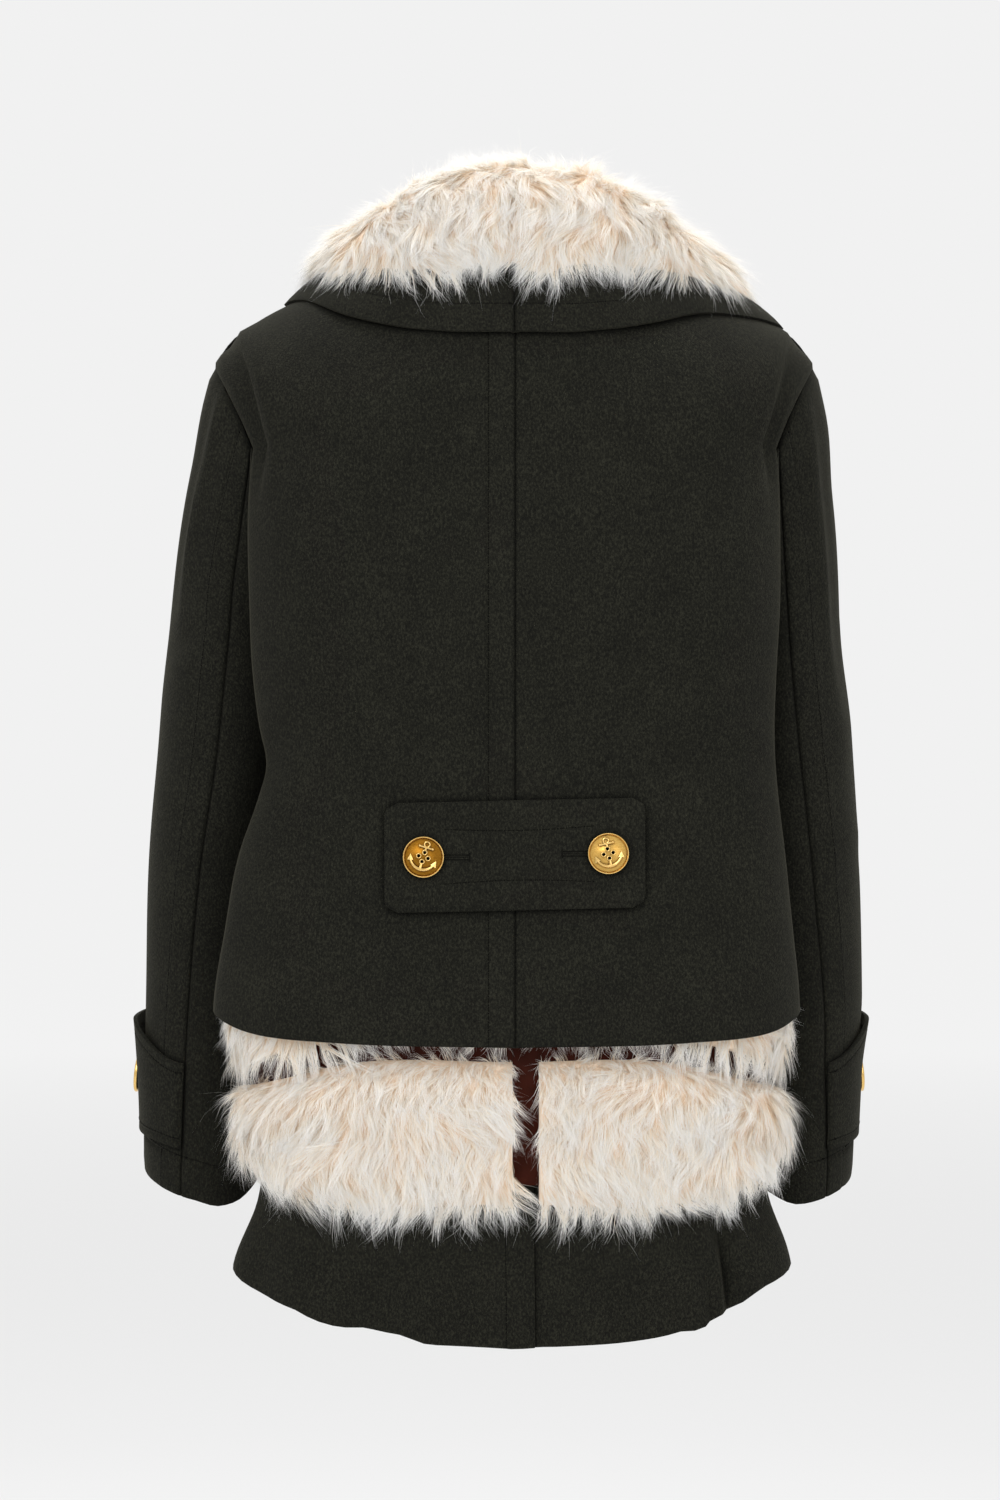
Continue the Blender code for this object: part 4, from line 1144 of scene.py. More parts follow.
tabShares = stepsOver(2 * tab["half"], fineStep) * 2 - 1
tabHeight = tab["top"] - tab["bottom"]
tabDrops = stepsOver(tabHeight, fineStep, (tabRow["from"], tabHeight - tabRow["from"]))[::-1, None]
grid = tabPoint(tabShares[None, :], tabDrops, tab["lift"] + tab["thick"])
reach = borderReach(grid)
relief = np.zeros(grid.shape[:2])
rowShare = smoothStep(*tabRow["ends"], reach["left"]) * smoothStep(*tabRow["ends"], reach["right"])
for border in ("bottom", "top"):
    relief -= tabRow["dip"] * rowShare * bell(reach[border], tabRow["from"], tabRow["width"])
nearest = np.minimum(np.minimum(reach["left"], reach["right"]), np.minimum(reach["bottom"], reach["top"]))
# Rounded over and full at its edges
relief += 0.5 * (smoothStep(0, 6, nearest) - 1) + 0.35 * bell(nearest, 8, 5)
grid = grid + gridNormals(grid, shellMiddle)[0] * relief[..., None]
rows = [(border, tabRow["from"], *tabRow["shares"]) for border in ("bottom", "top")]
tabLook = {"thick": tab["thick"], "edge": 1.2, "held": "laid", "rowsName": "backTab"}
clothPiece("backTab", "back_tab", grid, shellMiddle, on=["shell_back_left"], rows=rows, **tabLook)
print("tab made")

# Straps on the cuffs, from the elbow seam round the outer side
strap = {
    "thick": 3.0,
    "lift": gap + 0.7,
    "flare": {-1: 5.0, 1: 2.2},
    "start": {-1: 90, 1: 83},  # degrees round the sleeve, from the elbow seam to the far end at the front
    "end": -42,
    "width": 130,
    "height": 64,
    "inset": 7.0,
    "dip": 0.4,
    "top": -538,
    "rise": 21,  # how much higher its top is round the outer side than at the seam
    "bottom": -607,
    "point": 14,  # how far its corners are cut away at the far end
    "pointFrom": 0.86,
    "pointShare": 0.14,
    "middle": (220.0, 38.0, -575.0),
}


def strapPoint(side, share, rise, out):
    share, rise = np.broadcast_arrays(np.asarray(share, float), np.asarray(rise, float))
    turn = strap["start"][side] + (strap["end"] - strap["start"][side]) * share
    nearEnd = np.maximum(share - strap["pointFrom"], 0) / strap["pointShare"]
    top = strap["top"] + strap["rise"] * smoothStep(0, 0.6, share) - strap["point"] * nearEnd**2
    bottom = strap["bottom"] + strap["point"] * nearEnd**2
    z = bottom + (top - bottom) * rise
    table = sleeveTable["z"]
    drop = 1 + (z - table[0]) / (table[-1] - table[0])
    here = sleevePoint(side, turn, drop)
    across = sleevePoint(side, turn - nearby["turn"], drop) - sleevePoint(side, turn + nearby["turn"], drop)
    upward = sleevePoint(side, turn, drop - nearby["drop"]) - sleevePoint(side, turn, drop + nearby["drop"])
    normal = unit(np.cross(across, upward)) * side * -1
    middle = stacked(side * strap["middle"][0], strap["middle"][1], z)
    inward = (normal * (here - middle)).sum(axis=-1, keepdims=True) < 0
    normal = np.where(inward, -normal, normal)
    flare = strap["flare"][side] * rise**2 * smoothStep(0.1, 0.6, share)
    return here + normal * (out + flare)[..., None]


strapShares = stepsOver(strap["width"], fineStep, (strap["width"] - strap["inset"],))
strapMarks = (strap["inset"], strap["height"] - strap["inset"])
strapRises = stepsOver(strap["height"], fineStep, strapMarks)[:, None]
for side, nodeSide in sides.items():
    grid = strapPoint(side, strapShares, strapRises, strap["lift"] + strap["thick"])
    strapMiddle = np.array(strap["middle"]) * (side, 1, 1)
    reach = borderReach(grid)
    relief = seamRelief(reach, ("left",), ())
    for border in ("bottom", "top", "right"):
        relief -= strap["dip"] * bell(reach[border], strap["inset"], 1.0)
    grid = settled(grid + gridNormals(grid, strapMiddle)[0] * relief[..., None], coatMoves)
    rows = [(border, strap["inset"], 0.0, 0.95) for border in ("bottom", "top")]
    name = "cuffStrap" + nodeSide.title()
    strapLook = {"thick": strap["thick"], "edge": 1.1, "held": "laid", "on": [f"sleeve_upper_{nodeSide}"]}
    clothPiece(name, f"cuff_strap_{nodeSide}", grid, strapMiddle, rows=rows, rowsName=name, **strapLook)
print("straps made")

# Wool collar in two halves, sewn at the centre back
collarMiddle = np.array([0.0, 0.0, -60.0])
collarLength = 300
collarWave = {"height": 0.5, "pitch": 0.16, "reach": (0.5, 1)}


def collarShape(side, degrees, reach, out):
    below = collarPoint(side, degrees, np.minimum(reach + 0.02, 1))
    above = collarPoint(side, degrees, np.maximum(reach - 0.02, -1))
    further = collarPoint(side, np.minimum(degrees + collarStep, collarEnd), reach)
    across = further - collarPoint(side, np.maximum(degrees - collarStep, 0), reach)
    atCentre = (np.asarray(degrees) < 1)[..., None]
    across = np.where(atCentre, across * np.array([1.0, 0.0, 0.0]), across)
    normal = unit(np.cross(below - above, across)) * side
    return collarPoint(side, degrees, reach) + normal * np.asarray(out)[..., None]


collarTurns = collarEnd * stepsOver(collarLength, marks=(0,))
collarReaches = np.concatenate([np.linspace(-0.88, -0.06, 9), np.linspace(0.02, 1, 24)])
turns, reaches = np.broadcast_arrays(collarTurns, collarReaches[:, None])
for side, nodeSide in sides.items():
    rows = [("top", seamAllowance)]
    even = collarShape(side, turns, reaches, np.zeros(turns.shape))
    relief = seamRelief(borderReach(even), ("left",), rows)
    waves = np.sin(turns * collarWave["pitch"] + side)
    relief += collarWave["height"] * waves * smoothStep(*collarWave["reach"], reaches)
    grid = settled(lappedSeams(collarShape(side, turns, reaches, relief), ("left",)), collarMoves)
    collarLook = {"edge": 1.0, "held": "folded", "on": [f"shell_back_{nodeSide}"], "rowsName": "collar"}
    name = "woolCollar" + nodeSide.title()
    clothPiece(name, f"collar_wool_{nodeSide}", grid, collarMiddle, rows=rows, **collarLook)
print("collar made")

for name, paths in rowsOf.items():
    stitchPiece(f"{name}Stitches", paths)
print("stitches made")

# Fur: a dense ground, and long fibres in soft locks that lie down its slope
furLook = {
    "steps": 4,
    "groundShare": 0.68,
    "length": 29.0,
    "lengthSpread": 0.33,
    "lean": 0.75,  # radians off the ground at the root, and where the tip bends to
    "droop": -0.1,
    "gravity": 0.3,
    "swirl": 0.85,
    "swirlWaves": (34.0, 52.0, 85.0),
    "tousle": 0.3,
    "wave": 24.0,
    "sway": 2.8,
    "curl": 0.8,  # radians that a lock turns aside from root to tip
    "width": 0.38,
    "stray": 0.2,
    "loose": 1.9,  # millimetres that tips wander; strays wander further
    "strayLoose": 5.0,
    "locks": 4.5,  # to the square centimetre
    "close": (0.1, 0.62),
    "pressed": 0.8,
    "softShade": 0.86,
    "furthestY": -141.0,  # fibres that would reach past this lie flatter
    "seed": 11,
}


# Slow turning of the comb direction from place to place, as long pile lies after wear
def swirlAt(points, seed):
    rng = np.random.default_rng(seed)
    total = np.zeros(len(points))
    for wave in furLook["swirlWaves"]:
        toward = unit(rng.normal(0, 1, 3))
        total += np.sin(points @ toward * 2 * math.pi / wave + rng.uniform(0, 2 * math.pi))
    return total / 2


def growFur(name, base, down, loft, look, strands, seed):
    rng = np.random.default_rng(seed)
    normals = gridNormals(base, look["middle"])[0]
    weight = cellAreas(base) * look["density"][:-1, :-1]
    chance = weight.ravel() / weight.sum()
    steps = look["steps"]
    t = np.linspace(0, 1, steps + 1)

    def scatter(count):
        picked = rng.choice(weight.size, count, p=chance)
        return picked // weight.shape[1] + rng.random(count), picked % weight.shape[1] + rng.random(count)

    def read(rows, columns):
        out = unit(readGrid(normals, rows, columns))
        fall = readGrid(down, rows, columns)
        fall = unit(fall - out * (fall * out).sum(axis=1, keepdims=True))
        size = readGrid(np.stack([loft, look["lengths"]], axis=-1), rows, columns)
        return readGrid(base, rows, columns), out, fall, size[:, 0], size[:, 1]

    # Locks: each has a curve that its fibres follow and close in on
    lockCount = int(weight.sum() / 100 * look["locks"])
    lockRoot, lockOut, lockFall, lockLoft, lockSize = read(*scatter(lockCount))
    lateral = np.cross(lockOut, lockFall)
    turn = look["swirl"] * swirlAt(lockRoot, look["seed"]) + rng.normal(0, look["tousle"], lockCount)
    curl = look["curl"] * (0.7 * swirlAt(lockRoot, look["seed"] + 1) + rng.normal(0, 0.6, lockCount))
    angle = turn[:, None] + curl[:, None] * (t[None, 1:] - 0.4)
    comb = lockFall[:, None] * np.cos(angle)[..., None] + lateral[:, None] * np.sin(angle)[..., None]
    spread = rng.uniform(1 - look["lengthSpread"], 1 + look["lengthSpread"], lockCount)
    lockLength = look["length"] * lockSize * spread
    lean = look["lean"] + (look["droop"] - look["lean"]) * (t[None, 1:] - 0.5 / steps)
    lean = lean + rng.normal(0, 0.16, (lockCount, 1))
    heading = comb * np.cos(lean)[..., None] + lockOut[:, None] * np.sin(lean)[..., None]
    heading[..., 2] -= look["gravity"] * t[None, 1:]
    offsets = np.cumsum(unit(heading), axis=1) * (lockLength / steps)[:, None, None]
    offsets = np.concatenate([np.zeros((lockCount, 1, 3)), offsets], axis=1)
    height = (offsets * lockOut[:, None]).sum(axis=2)
    room = lockLoft * rng.uniform(0.75, 1.15, lockCount)
    squash = np.minimum(room / np.maximum(height.max(axis=1), 1e-6), 1.5)
    offsets += lockOut[:, None] * (height * (squash[:, None] - 1))[..., None]
    phase = rng.uniform(0, 2 * math.pi, lockCount)
    turns = 2 * math.pi * lockLength / look["wave"]
    sway = look["sway"] * np.sin(turns[:, None] * t[None] + phase[:, None]) * t[None]
    offsets += lateral[:, None] * sway[..., None]

    # Fibres: each belongs to its nearest lock
    root, out = read(*scatter(strands))[:2]
    nearest = np.empty(strands, int)
    for start in range(0, strands, 2000):
        part = root[start : start + 2000]
        far = (part**2).sum(axis=1)[:, None] - 2 * part @ lockRoot.T + (lockRoot**2).sum(axis=1)[None]
        nearest[start : start + 2000] = far.argmin(axis=1)
    stray = rng.random(strands) < look["stray"]
    size = rng.triangular(0.5, 1.0, 1.15, strands) * np.where(stray, 1.1, 1.0)
    closing = np.where(stray, 0.1, rng.uniform(*look["close"], strands))[:, None] * t[None] ** 1.3
    apart = (root - lockRoot[nearest])[:, None] * (1 - closing)[..., None]
    points = lockRoot[nearest][:, None] + apart + offsets[nearest] * size[:, None, None]
    loose = rng.normal(0, 1, (strands, 3)) * np.where(stray, look["strayLoose"], look["loose"])[:, None]
    points += loose[:, None] * (t[None] ** 1.5)[..., None]
    points[..., 1] += 0.7 * np.maximum(look["furthestY"] - points[..., 1], 0)

    # Ribbons: widest near the root and pointed at the tip, each facing out of the fur
    along = unit(np.gradient(points, axis=1))
    across = unit(np.cross(along, out[:, None]))
    twist = rng.normal(0, 0.5, strands)[:, None, None]
    across = across * np.cos(twist) + np.cross(along, across) * np.sin(twist)
    width = look["width"] * rng.uniform(0.6, 1.35, strands) * np.where(stray, 0.5, 1.0)
    taper = (1 - t**2.4) * (0.6 + 0.4 * np.sin(math.pi * np.minimum(t * 1.6, 1)))
    half = across * (width[:, None] * taper[None])[..., None] / 2
    ribbon = np.concatenate([(points - half)[:, :-1], (points + half)[:, :-1], points[:, -1:]], axis=1)
    perStrand = 2 * steps + 1
    starts = np.arange(strands)[:, None, None] * perStrand
    rung = np.arange(steps - 1)
    quads = np.stack([rung, rung + steps, rung + steps + 1, rung + 1], axis=1)[None] + starts
    tips = np.array([[steps - 1, 2 * steps - 1, 2 * steps]])[None] + starts
    mesh = bpy.data.meshes.new(name)
    faces = quads.reshape(-1, 4).tolist() + tips.reshape(-1, 3).tolist()
    mesh.from_pydata((ribbon.reshape(-1, 3) / 1000).tolist(), [], faces)
    tone = np.repeat(rng.random(strands), perStrand)
    # How far along its fibre each point lies; the pile's colour darkens towards the root with it, partly as
    # painted shade
    upStrand = np.tile(np.concatenate([t[:-1], t[:-1], [1.0]]), strands)
    setUv(mesh, "strand", np.stack([tone, upStrand], axis=1))

    # Shading leans to the fur's own face, because light passes through fine pile from fibre to fibre
    own = unit(np.cross(across, along))
    facing = unit(own * (1 - look["softShade"]) + out[:, None] * look["softShade"])
    facing = np.concatenate([facing[:, :-1], facing[:, :-1], facing[:, -1:]], axis=1)
    mesh.shade_smooth()
    mesh.normals_split_custom_set_from_vertices(facing.reshape(-1, 3).tolist())
    addPiece(name, mesh, ["pile"])


# Ground of the fur: an outer face with walls down to the cloth, between the cloth and part of the fur's loft
def furGroundPiece(name, node, inner, outer, middle):
    piece = addPiece(name, gridMesh(name, outer, gridNormals(outer, middle)[1]), ["ground"])
    work = bmesh.new()
    work.from_mesh(piece.data)
    border = [edge for edge in work.edges if edge.is_boundary]
    drawn = bmesh.ops.extrude_edge_only(work, edges=border)["geom"]
    low = inner.reshape(-1, 3) / 1000
    high = outer.reshape(-1, 3) / 1000
    for vertex in [item for item in drawn if isinstance(item, bmesh.types.BMVert)]:
        vertex.co = low[np.argmin(((high - np.array(vertex.co[:])) ** 2).sum(axis=1))]
    work.to_mesh(piece.data)
    work.free()
    piece.data.shade_smooth()
    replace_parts(piece, node)


furProfile = {
    "reach": (-0.2, -0.06, 0.04, 0.15, 0.28, 0.42, 0.57, 0.7),
    "thick": (4, 10, 15, 19, 22, 22, 17, 6),
}
collarFur = dict(
    furLook,
    steps=3,
    length=31.0,
    lean=0.8,
    droop=-0.15,
    gravity=0.15,
    strands=26500,
    middle=collarMiddle,
    reach=(-0.2, 0.93),
    endTurns=(48, 80),
)

# How the collar's fur differs between the sides: a bulge's middle, spread and reach, how much further and
# longer it is at the end, and where it thins by how much
collarEdge = {
    -1: {"bulge": (38, 14), "more": 0.02, "further": 0.03, "longer": -0.1, "thins": (20, 70), "thin": 0.32},
    1: {"bulge": (12, 8), "more": 0.05, "further": 0.1, "longer": 0.15, "thins": (40, 80), "thin": 0.34},
}


def furThick(side, degrees, reach):
    lumps = 1 + 0.08 * np.sin(degrees * 0.21 + side) + 0.05 * np.sin(reach * 9 + degrees * 0.4)
    edge = collarEdge[side]
    taper = 1 - 0.35 * smoothStep(100, 140, degrees)
    taper = taper * (1 - edge["thin"] * smoothStep(*edge["thins"], degrees))
    return smoothRead(furProfile, "reach", "thick", reach) * lumps * taper


turns, shares = np.broadcast_arrays(np.linspace(0, 135, 60)[None, :], np.linspace(0, 1, 30)[:, None])
for side, nodeSide in sides.items():
    edge = collarEdge[side]
    atEnds = smoothStep(*collarFur["endTurns"], turns)
    first, whole = collarFur["reach"]
    bulge = edge["more"] * bell(turns, *edge["bulge"])
    reaches = first + shares * (whole + edge["further"] * atEnds + bulge)
    thick = furThick(side, turns, first + 0.9 * shares)
    lumps = 1 + 0.12 * np.sin(turns * 0.35 + reaches * 8) * np.cos(turns * 0.13 - reaches * 13)
    inner = settled(collarShape(side, turns, reaches, np.full(turns.shape, layerGap)), collarFurMoves)
    outer = collarShape(side, turns, reaches, layerGap + thick * collarFur["groundShare"] * lumps)
    outer = settled(outer, collarFurMoves)
    ending = nodeSide.title()
    furGroundPiece(f"collarFurGround{ending}", f"collar_fur_{nodeSide}", inner, outer, collarMiddle)
    down = np.gradient(outer, axis=0)
    down[..., 0] += side * 0.25 * smoothStep(0, 60, turns) * np.linalg.norm(down, axis=2)
    bare = smoothStep(58, 80, turns) * smoothStep(0.9, 0.95, shares)  # backing shows at the ends
    onFold = 1 - smoothStep(0.1, 0.32, shares)
    atNotch = (1 - smoothStep(3, 9, turns)) * smoothStep(0.6, 0.8, shares)
    lengths = 1 + edge["longer"] * atEnds - 0.4 * onFold - 0.5 * atNotch
    look = dict(collarFur, density=1 - 0.9 * bare, lengths=lengths)
    loft = thick * (1 - look["groundShare"]) * look["pressed"]
    growFur(f"collarFurPile{ending}", outer, down, loft, look, look["strands"], look["seed"] + side)
print("collar fur made")

# Two fur tiers on the skirt layer: how far inside the form their faces lie from top to bottom
tierInset = {
    "upper": {"drop": (0, 0.35, 0.75, 1), "inset": (9.0, 3.8, 3.8, 7.0)},
    "lower": {"drop": (0, 0.2, 0.5, 0.82, 1), "inset": (12.0, 4.0, 1.5, 2.5, 11.0)},
}
tierFur = dict(
    furLook,
    strands={"upperback": 6500, "lowerback": 22000, "upperfront": 3000, "lowerfront": 8000},
    seeds={"upper": 20, "lower": 40, "back": 3, "front": 5},
    lumps={"upper": 0.5, "lower": 1.2},
    steps=3,
    overHang=12.0,  # how far above the outer hem the roots of the hair that comes out below it reach
    fringe=21.0,  # how far hair alone hangs below the backing
    thinX=(95, 125),  # where the upper tier stops showing only as thin tufts
    crossing=13.0,  # how far from the centre strip the hair is combed over it
    middle=shellMiddle,
)
upperLoose = {"stray": 0.1, "loose": 1.0, "strayLoose": 1.6}  # so that none comes through the layer over it


def lump(place, z):
    return np.sin(place * 19 + z * 0.05) * np.cos(place * 7 - z * 0.11)


# One tier on one panel of the skirt, between two lines
def tierPiece(side, area, tier, places, top, bottom):
    drops = np.linspace(0, 1, 26)[:, None]
    z = top + (bottom - top) * drops
    onSkirt = skirtInset(side, places, z) - layerGap
    out = smoothRead(tierInset[tier], "drop", "inset", drops) + tierFur["lumps"][tier] * lump(places, z)
    slope = 0.3 + 0.7 * smoothStep(0, 0.14, drops)
    middleInset = onSkirt + (out - onSkirt) * tierFur["groundShare"] * slope
    inner = settled(formInset(side, places, z, onSkirt), skirtMoves)
    outer = settled(formInset(side, places, z, middleInset), skirtMoves)
    ending = area.title() + sides[side].title()
    furGroundPiece(f"{tier}Tier{ending}", f"fur_{tier}_{area}_{sides[side]}", inner, outer, shellMiddle)
    down = unit(np.gradient(outer, axis=0))
    density = np.ones(z.shape)
    if tier == "upper":
        across = np.abs(outer[..., 0])
        thin = 1 - smoothStep(*tierFur["thinX"], across)
        hidden = z > hemZ("shell", places) + tierFur["overHang"] * (1 + 0.9 * thin)
        density = np.where(hidden, 0.0, 1.0 - 0.35 * thin)
        joined = smoothStep(105, 125, across) * (1 - smoothStep(152, 170, across))
        lengths = 1.0 - 0.25 * thin + 0.45 * joined
    else:
        raised = (1 - smoothStep(0.0, 0.08, drops)) * np.ones(z.shape)
        down = unit(down + np.array([0, 0, 1.7]) * raised[..., None])
        density = density + 0.7 * raised
        atSides = 0.2 * smoothStep(0.85, 1.1, places) * (1 - smoothStep(0.2, 0.5, drops))
        lengths = np.ones(z.shape) - 0.6 * raised - atSides
    if area == "back":
        nearStrip = bell(borderReach(outer)["left"], 0, tierFur["crossing"])
        toward = (side * 0.1 + 0.45 * smoothStep(0.55, 0.9, drops)) * nearStrip
        down = down + np.array([-side, 0, 0]) * toward[..., None]
        lengths = lengths - 0.35 * (nearStrip * (1 - smoothStep(0.6, 0.8, drops)))
    look = dict(tierFur, density=density, lengths=lengths, **(upperLoose if tier == "upper" else {}))
    loft = np.broadcast_to((middleInset - out) * look["pressed"], z.shape)
    seed = look["seed"] + 10 * side + look["seeds"][area] + look["seeds"][tier]
    growFur(f"{tier}Pile{ending}", outer, down, loft, look, look["strands"][tier + area], seed)


for side in sides:
    for area, first in tierEdges[side].items():
        places = np.linspace(first, skirtSeam, 64)
        stripTop = strip["topZ"] - hemZ("stripDip", places)
        lowerBottom = hemZ("lowerFringe", places) + tierFur["fringe"] - 9 * smoothStep(0.75, 1.05, places)
        tierPiece(side, area, "upper", places, rowZ(places, skirtTopRow + 2), stripTop)
        tierPiece(side, area, "lower", places, stripTop - strip["height"], lowerBottom)
print("fur tiers made")

# Buttons: a turned face with a rolled rim, four holes, and a plain anchor raised on the field
button = {
    "reach": (0.0, 4.8, 5.2, 12.5, 12.9, 13.1, 13.5, 14.0, 14.3, 14.0, 12.5, 0.0),
    "height": (2.0, 2.0, 1.7, 1.7, 2.1, 3.0, 3.4, 3.1, 2.3, 1.2, 0.2, 0.0),
    "turnSteps": 44,
    "holeReach": 3.3,
    "holeRadius": 1.2,
    "holeRim": 0.36,
    "holeDepth": 9,
    "fieldRadius": 12.8,
    "fieldHeight": 1.2,
    "reliefHeight": 2.2,
    "sharpAngle": 38,
}
holeAngles = [math.pi / 2 * hole for hole in range(4)]


def capsule(work, start, end, radiusStart, radiusEnd=None, roundEnds=True):
    start = Vector(start)
    end = Vector(end)
    radii = (radiusStart, radiusStart if radiusEnd is None else radiusEnd)
    ends = {"radius1": radii[0], "radius2": radii[1], "depth": (end - start).length}
    made = bmesh.ops.create_cone(work, cap_ends=True, segments=8, **ends)
    turn = (end - start).to_track_quat("Z", "Y").to_matrix()
    bmesh.ops.rotate(work, verts=made["verts"], cent=(0, 0, 0), matrix=turn)
    bmesh.ops.translate(work, verts=made["verts"], vec=(start + end) / 2)
    for place, radius in zip((start, end), radii) if roundEnds else ():
        ball = bmesh.ops.create_uvsphere(work, u_segments=8, v_segments=4, radius=radius)
        bmesh.ops.translate(work, verts=ball["verts"], vec=place)


# A round bow of short rods, in degrees from first to last, as thick as thickAt says along it
def arc(work, middle, radius, first, last, steps, thickAt, z):
    ends = []
    for step in range(steps + 1):
        a = math.radians(first + (last - first) * (step / steps))
        point = (middle[0] + radius * math.cos(a), middle[1] + radius * math.sin(a), z)
        ends.append((point, thickAt(step / steps)))
    for (start, startThick), (end, endThick) in zip(ends, ends[1:]):
        capsule(work, start, end, startThick, endThick, False)


# A plain anchor: ring, stock, shank, two curved arms and their flukes
anchor = {
    "shankTop": 6.9,
    "shankRadius": 0.85,
    "stockHalf": 4.6,
    "stockRadius": 0.75,
    "ringMiddle": 9.0,
    "ringRadius": 1.9,
    "ringWire": 0.55,
    "armMiddle": 0.6,
    "armRadius": 9.3,
    "armSpan": 66.0,
    "armSteps": 8,
    "armThick": 1.15,
    "fluke": 4.2,
    "flukeRadius": 2.1,
    "flukeTip": 0.05,
}


def anchorParts(work):
    z = button["reliefHeight"]
    top = anchor["shankTop"]
    shank = anchor["shankRadius"]
    bottom = anchor["armMiddle"] - anchor["armRadius"]
    clear = button["holeReach"] + button["holeRadius"] + button["holeRim"]
    capsule(work, (0, top, z), (0, clear, z), shank)
    capsule(work, (0, -clear, z), (0, bottom, z), shank, shank * 1.4)
    half = anchor["stockHalf"]
    capsule(work, (-half, top, z), (half, top, z), anchor["stockRadius"])
    for sign in (-1, 1):
        thick = anchor["stockRadius"] * 1.45
        knob = bmesh.ops.create_uvsphere(work, u_segments=8, v_segments=5, radius=thick)
        bmesh.ops.translate(work, verts=knob["verts"], vec=(sign * half, top, z))
    middle = (0, anchor["ringMiddle"])
    arc(work, middle, anchor["ringRadius"], 0, 360, 12, lambda share: anchor["ringWire"], z)
    rim = button["holeRadius"] + button["holeRim"]
    for a in holeAngles:
        place = (button["holeReach"] * math.cos(a), button["holeReach"] * math.sin(a))
        arc(work, place, rim, 0, 360, 10, lambda share: button["holeRim"], z + 0.1)
    reach = anchor["armRadius"]
    for sign in (-1, 1):
        end = 270 + sign * anchor["armSpan"]
        middle = (0, anchor["armMiddle"])
        thick = anchor["armThick"]
        arc(work, middle, reach, 270, end, anchor["armSteps"], lambda share: thick * (1.15 - 0.5 * share), z)
        a = math.radians(end)
        tip = Vector((reach * math.cos(a), anchor["armMiddle"] + reach * math.sin(a), z))
        wide = anchor["flukeRadius"]
        narrow = anchor["flukeTip"]
        palm = bmesh.ops.create_cone(
            work, cap_ends=True, segments=4, radius1=wide, radius2=narrow, depth=anchor["fluke"]
        )
        bmesh.ops.scale(work, verts=palm["verts"], vec=(1, 0.4, 1))
        turn = Vector((sign * 0.25, 1, 0)).to_track_quat("Z", "Y").to_matrix()
        bmesh.ops.rotate(work, verts=palm["verts"], cent=(0, 0, 0), matrix=turn)
        bmesh.ops.translate(work, verts=palm["verts"], vec=tip + Vector((sign * 0.2, 1.0, 0)))


def buttonShape():
    work = bmesh.new()
    ring = [work.verts.new((reach, 0, height)) for reach, height in zip(button["reach"], button["height"])]
    for first, second in zip(ring, ring[1:]):
        work.edges.new((first, second))
    bmesh.ops.spin(
        work,
        geom=work.verts[:] + work.edges[:],
        cent=(0, 0, 0),
        axis=(0, 0, 1),
        angle=2 * math.pi,
        steps=button["turnSteps"],
        use_merge=True,
    )
    bmesh.ops.remove_doubles(work, verts=work.verts, dist=1e-4)
    bmesh.ops.recalc_face_normals(work, faces=work.faces)
    blank = bpy.data.objects.new("buttonBlank", toMesh(work, "buttonFace"))
    drill = bmesh.new()
    wide = button["holeRadius"]
    for a in holeAngles:
        made = bmesh.ops.create_cone(
            drill, cap_ends=True, segments=12, radius1=wide, radius2=wide, depth=button["holeDepth"]
        )
        place = (button["holeReach"] * math.cos(a), button["holeReach"] * math.sin(a), 1)
        bmesh.ops.translate(drill, verts=made["verts"], vec=place)
    cutter = bpy.data.objects.new("buttonCutter", toMesh(drill, "buttonDrills"))
    for made in (blank, cutter):
        bpy.context.scene.collection.objects.link(made)
    cut = blank.modifiers.new("holes", "BOOLEAN")
    cut.operation = "DIFFERENCE"
    cut.solver = "EXACT"
    cut.object = cutter
    drilled = bpy.data.meshes.new_from_object(blank.evaluated_get(bpy.context.evaluated_depsgraph_get()))
    bpy.data.objects.remove(blank)
    bpy.data.objects.remove(cutter)
    return drilled


buttonBody = buttonShape()


def buttonPiece(name, node, centre, normal, turn, field="field"):
    work = bmesh.new()
    work.from_mesh(buttonBody)
    for face in work.faces:
        middle = face.calc_center_median()
        inField = math.hypot(middle.x, middle.y) < button["fieldRadius"] and middle.z > button["fieldHeight"]
        face.material_index = 1 if inField and face.normal.z > 0.5 else 0
    anchorParts(work)
    angle = math.radians(turn)
    right = Vector((math.cos(angle), 0, math.sin(angle)))
    out = Vector(normal).normalized()
    right = (right - out * right.dot(out)).normalized()
    if abs(out.x) > 0.7:
        right = Vector((0, math.cos(angle) * -math.copysign(1, out.x), math.sin(angle)))
    if out.y > 0.5:
        right = -right
    axes = Matrix((right, out.cross(right), out)).transposed().to_4x4()
    bmesh.ops.transform(work, verts=work.verts, matrix=Matrix.Translation(Vector(centre)) @ axes)
    bmesh.ops.scale(work, verts=work.verts, vec=(0.001, 0.001, 0.001))
    mesh = toMesh(work, name)
    mesh.set_sharp_from_angle(angle=math.radians(button["sharpAngle"]))
    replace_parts(addPiece(name, mesh, ["brass", field]), node)


# Worked buttonholes beside the half belt's buttons: a slit between two rows of thread, and a bar at its end
buttonhole = {
    "start": 11.0,
    "end": 31.5,
    "apart": 1.6,
    "cord": 0.36,
    "slit": 0.5,
    "bar": 2.8,
    "proud": -0.05,
}


def onTab(x, z, out):
    side = 1 if x > 0 else -1
    place = placeAt(side, x, z)
    return formPoint(side, place, z) + formNormal(side, place, z) * (tab["lift"] + tab["thick"] + out)


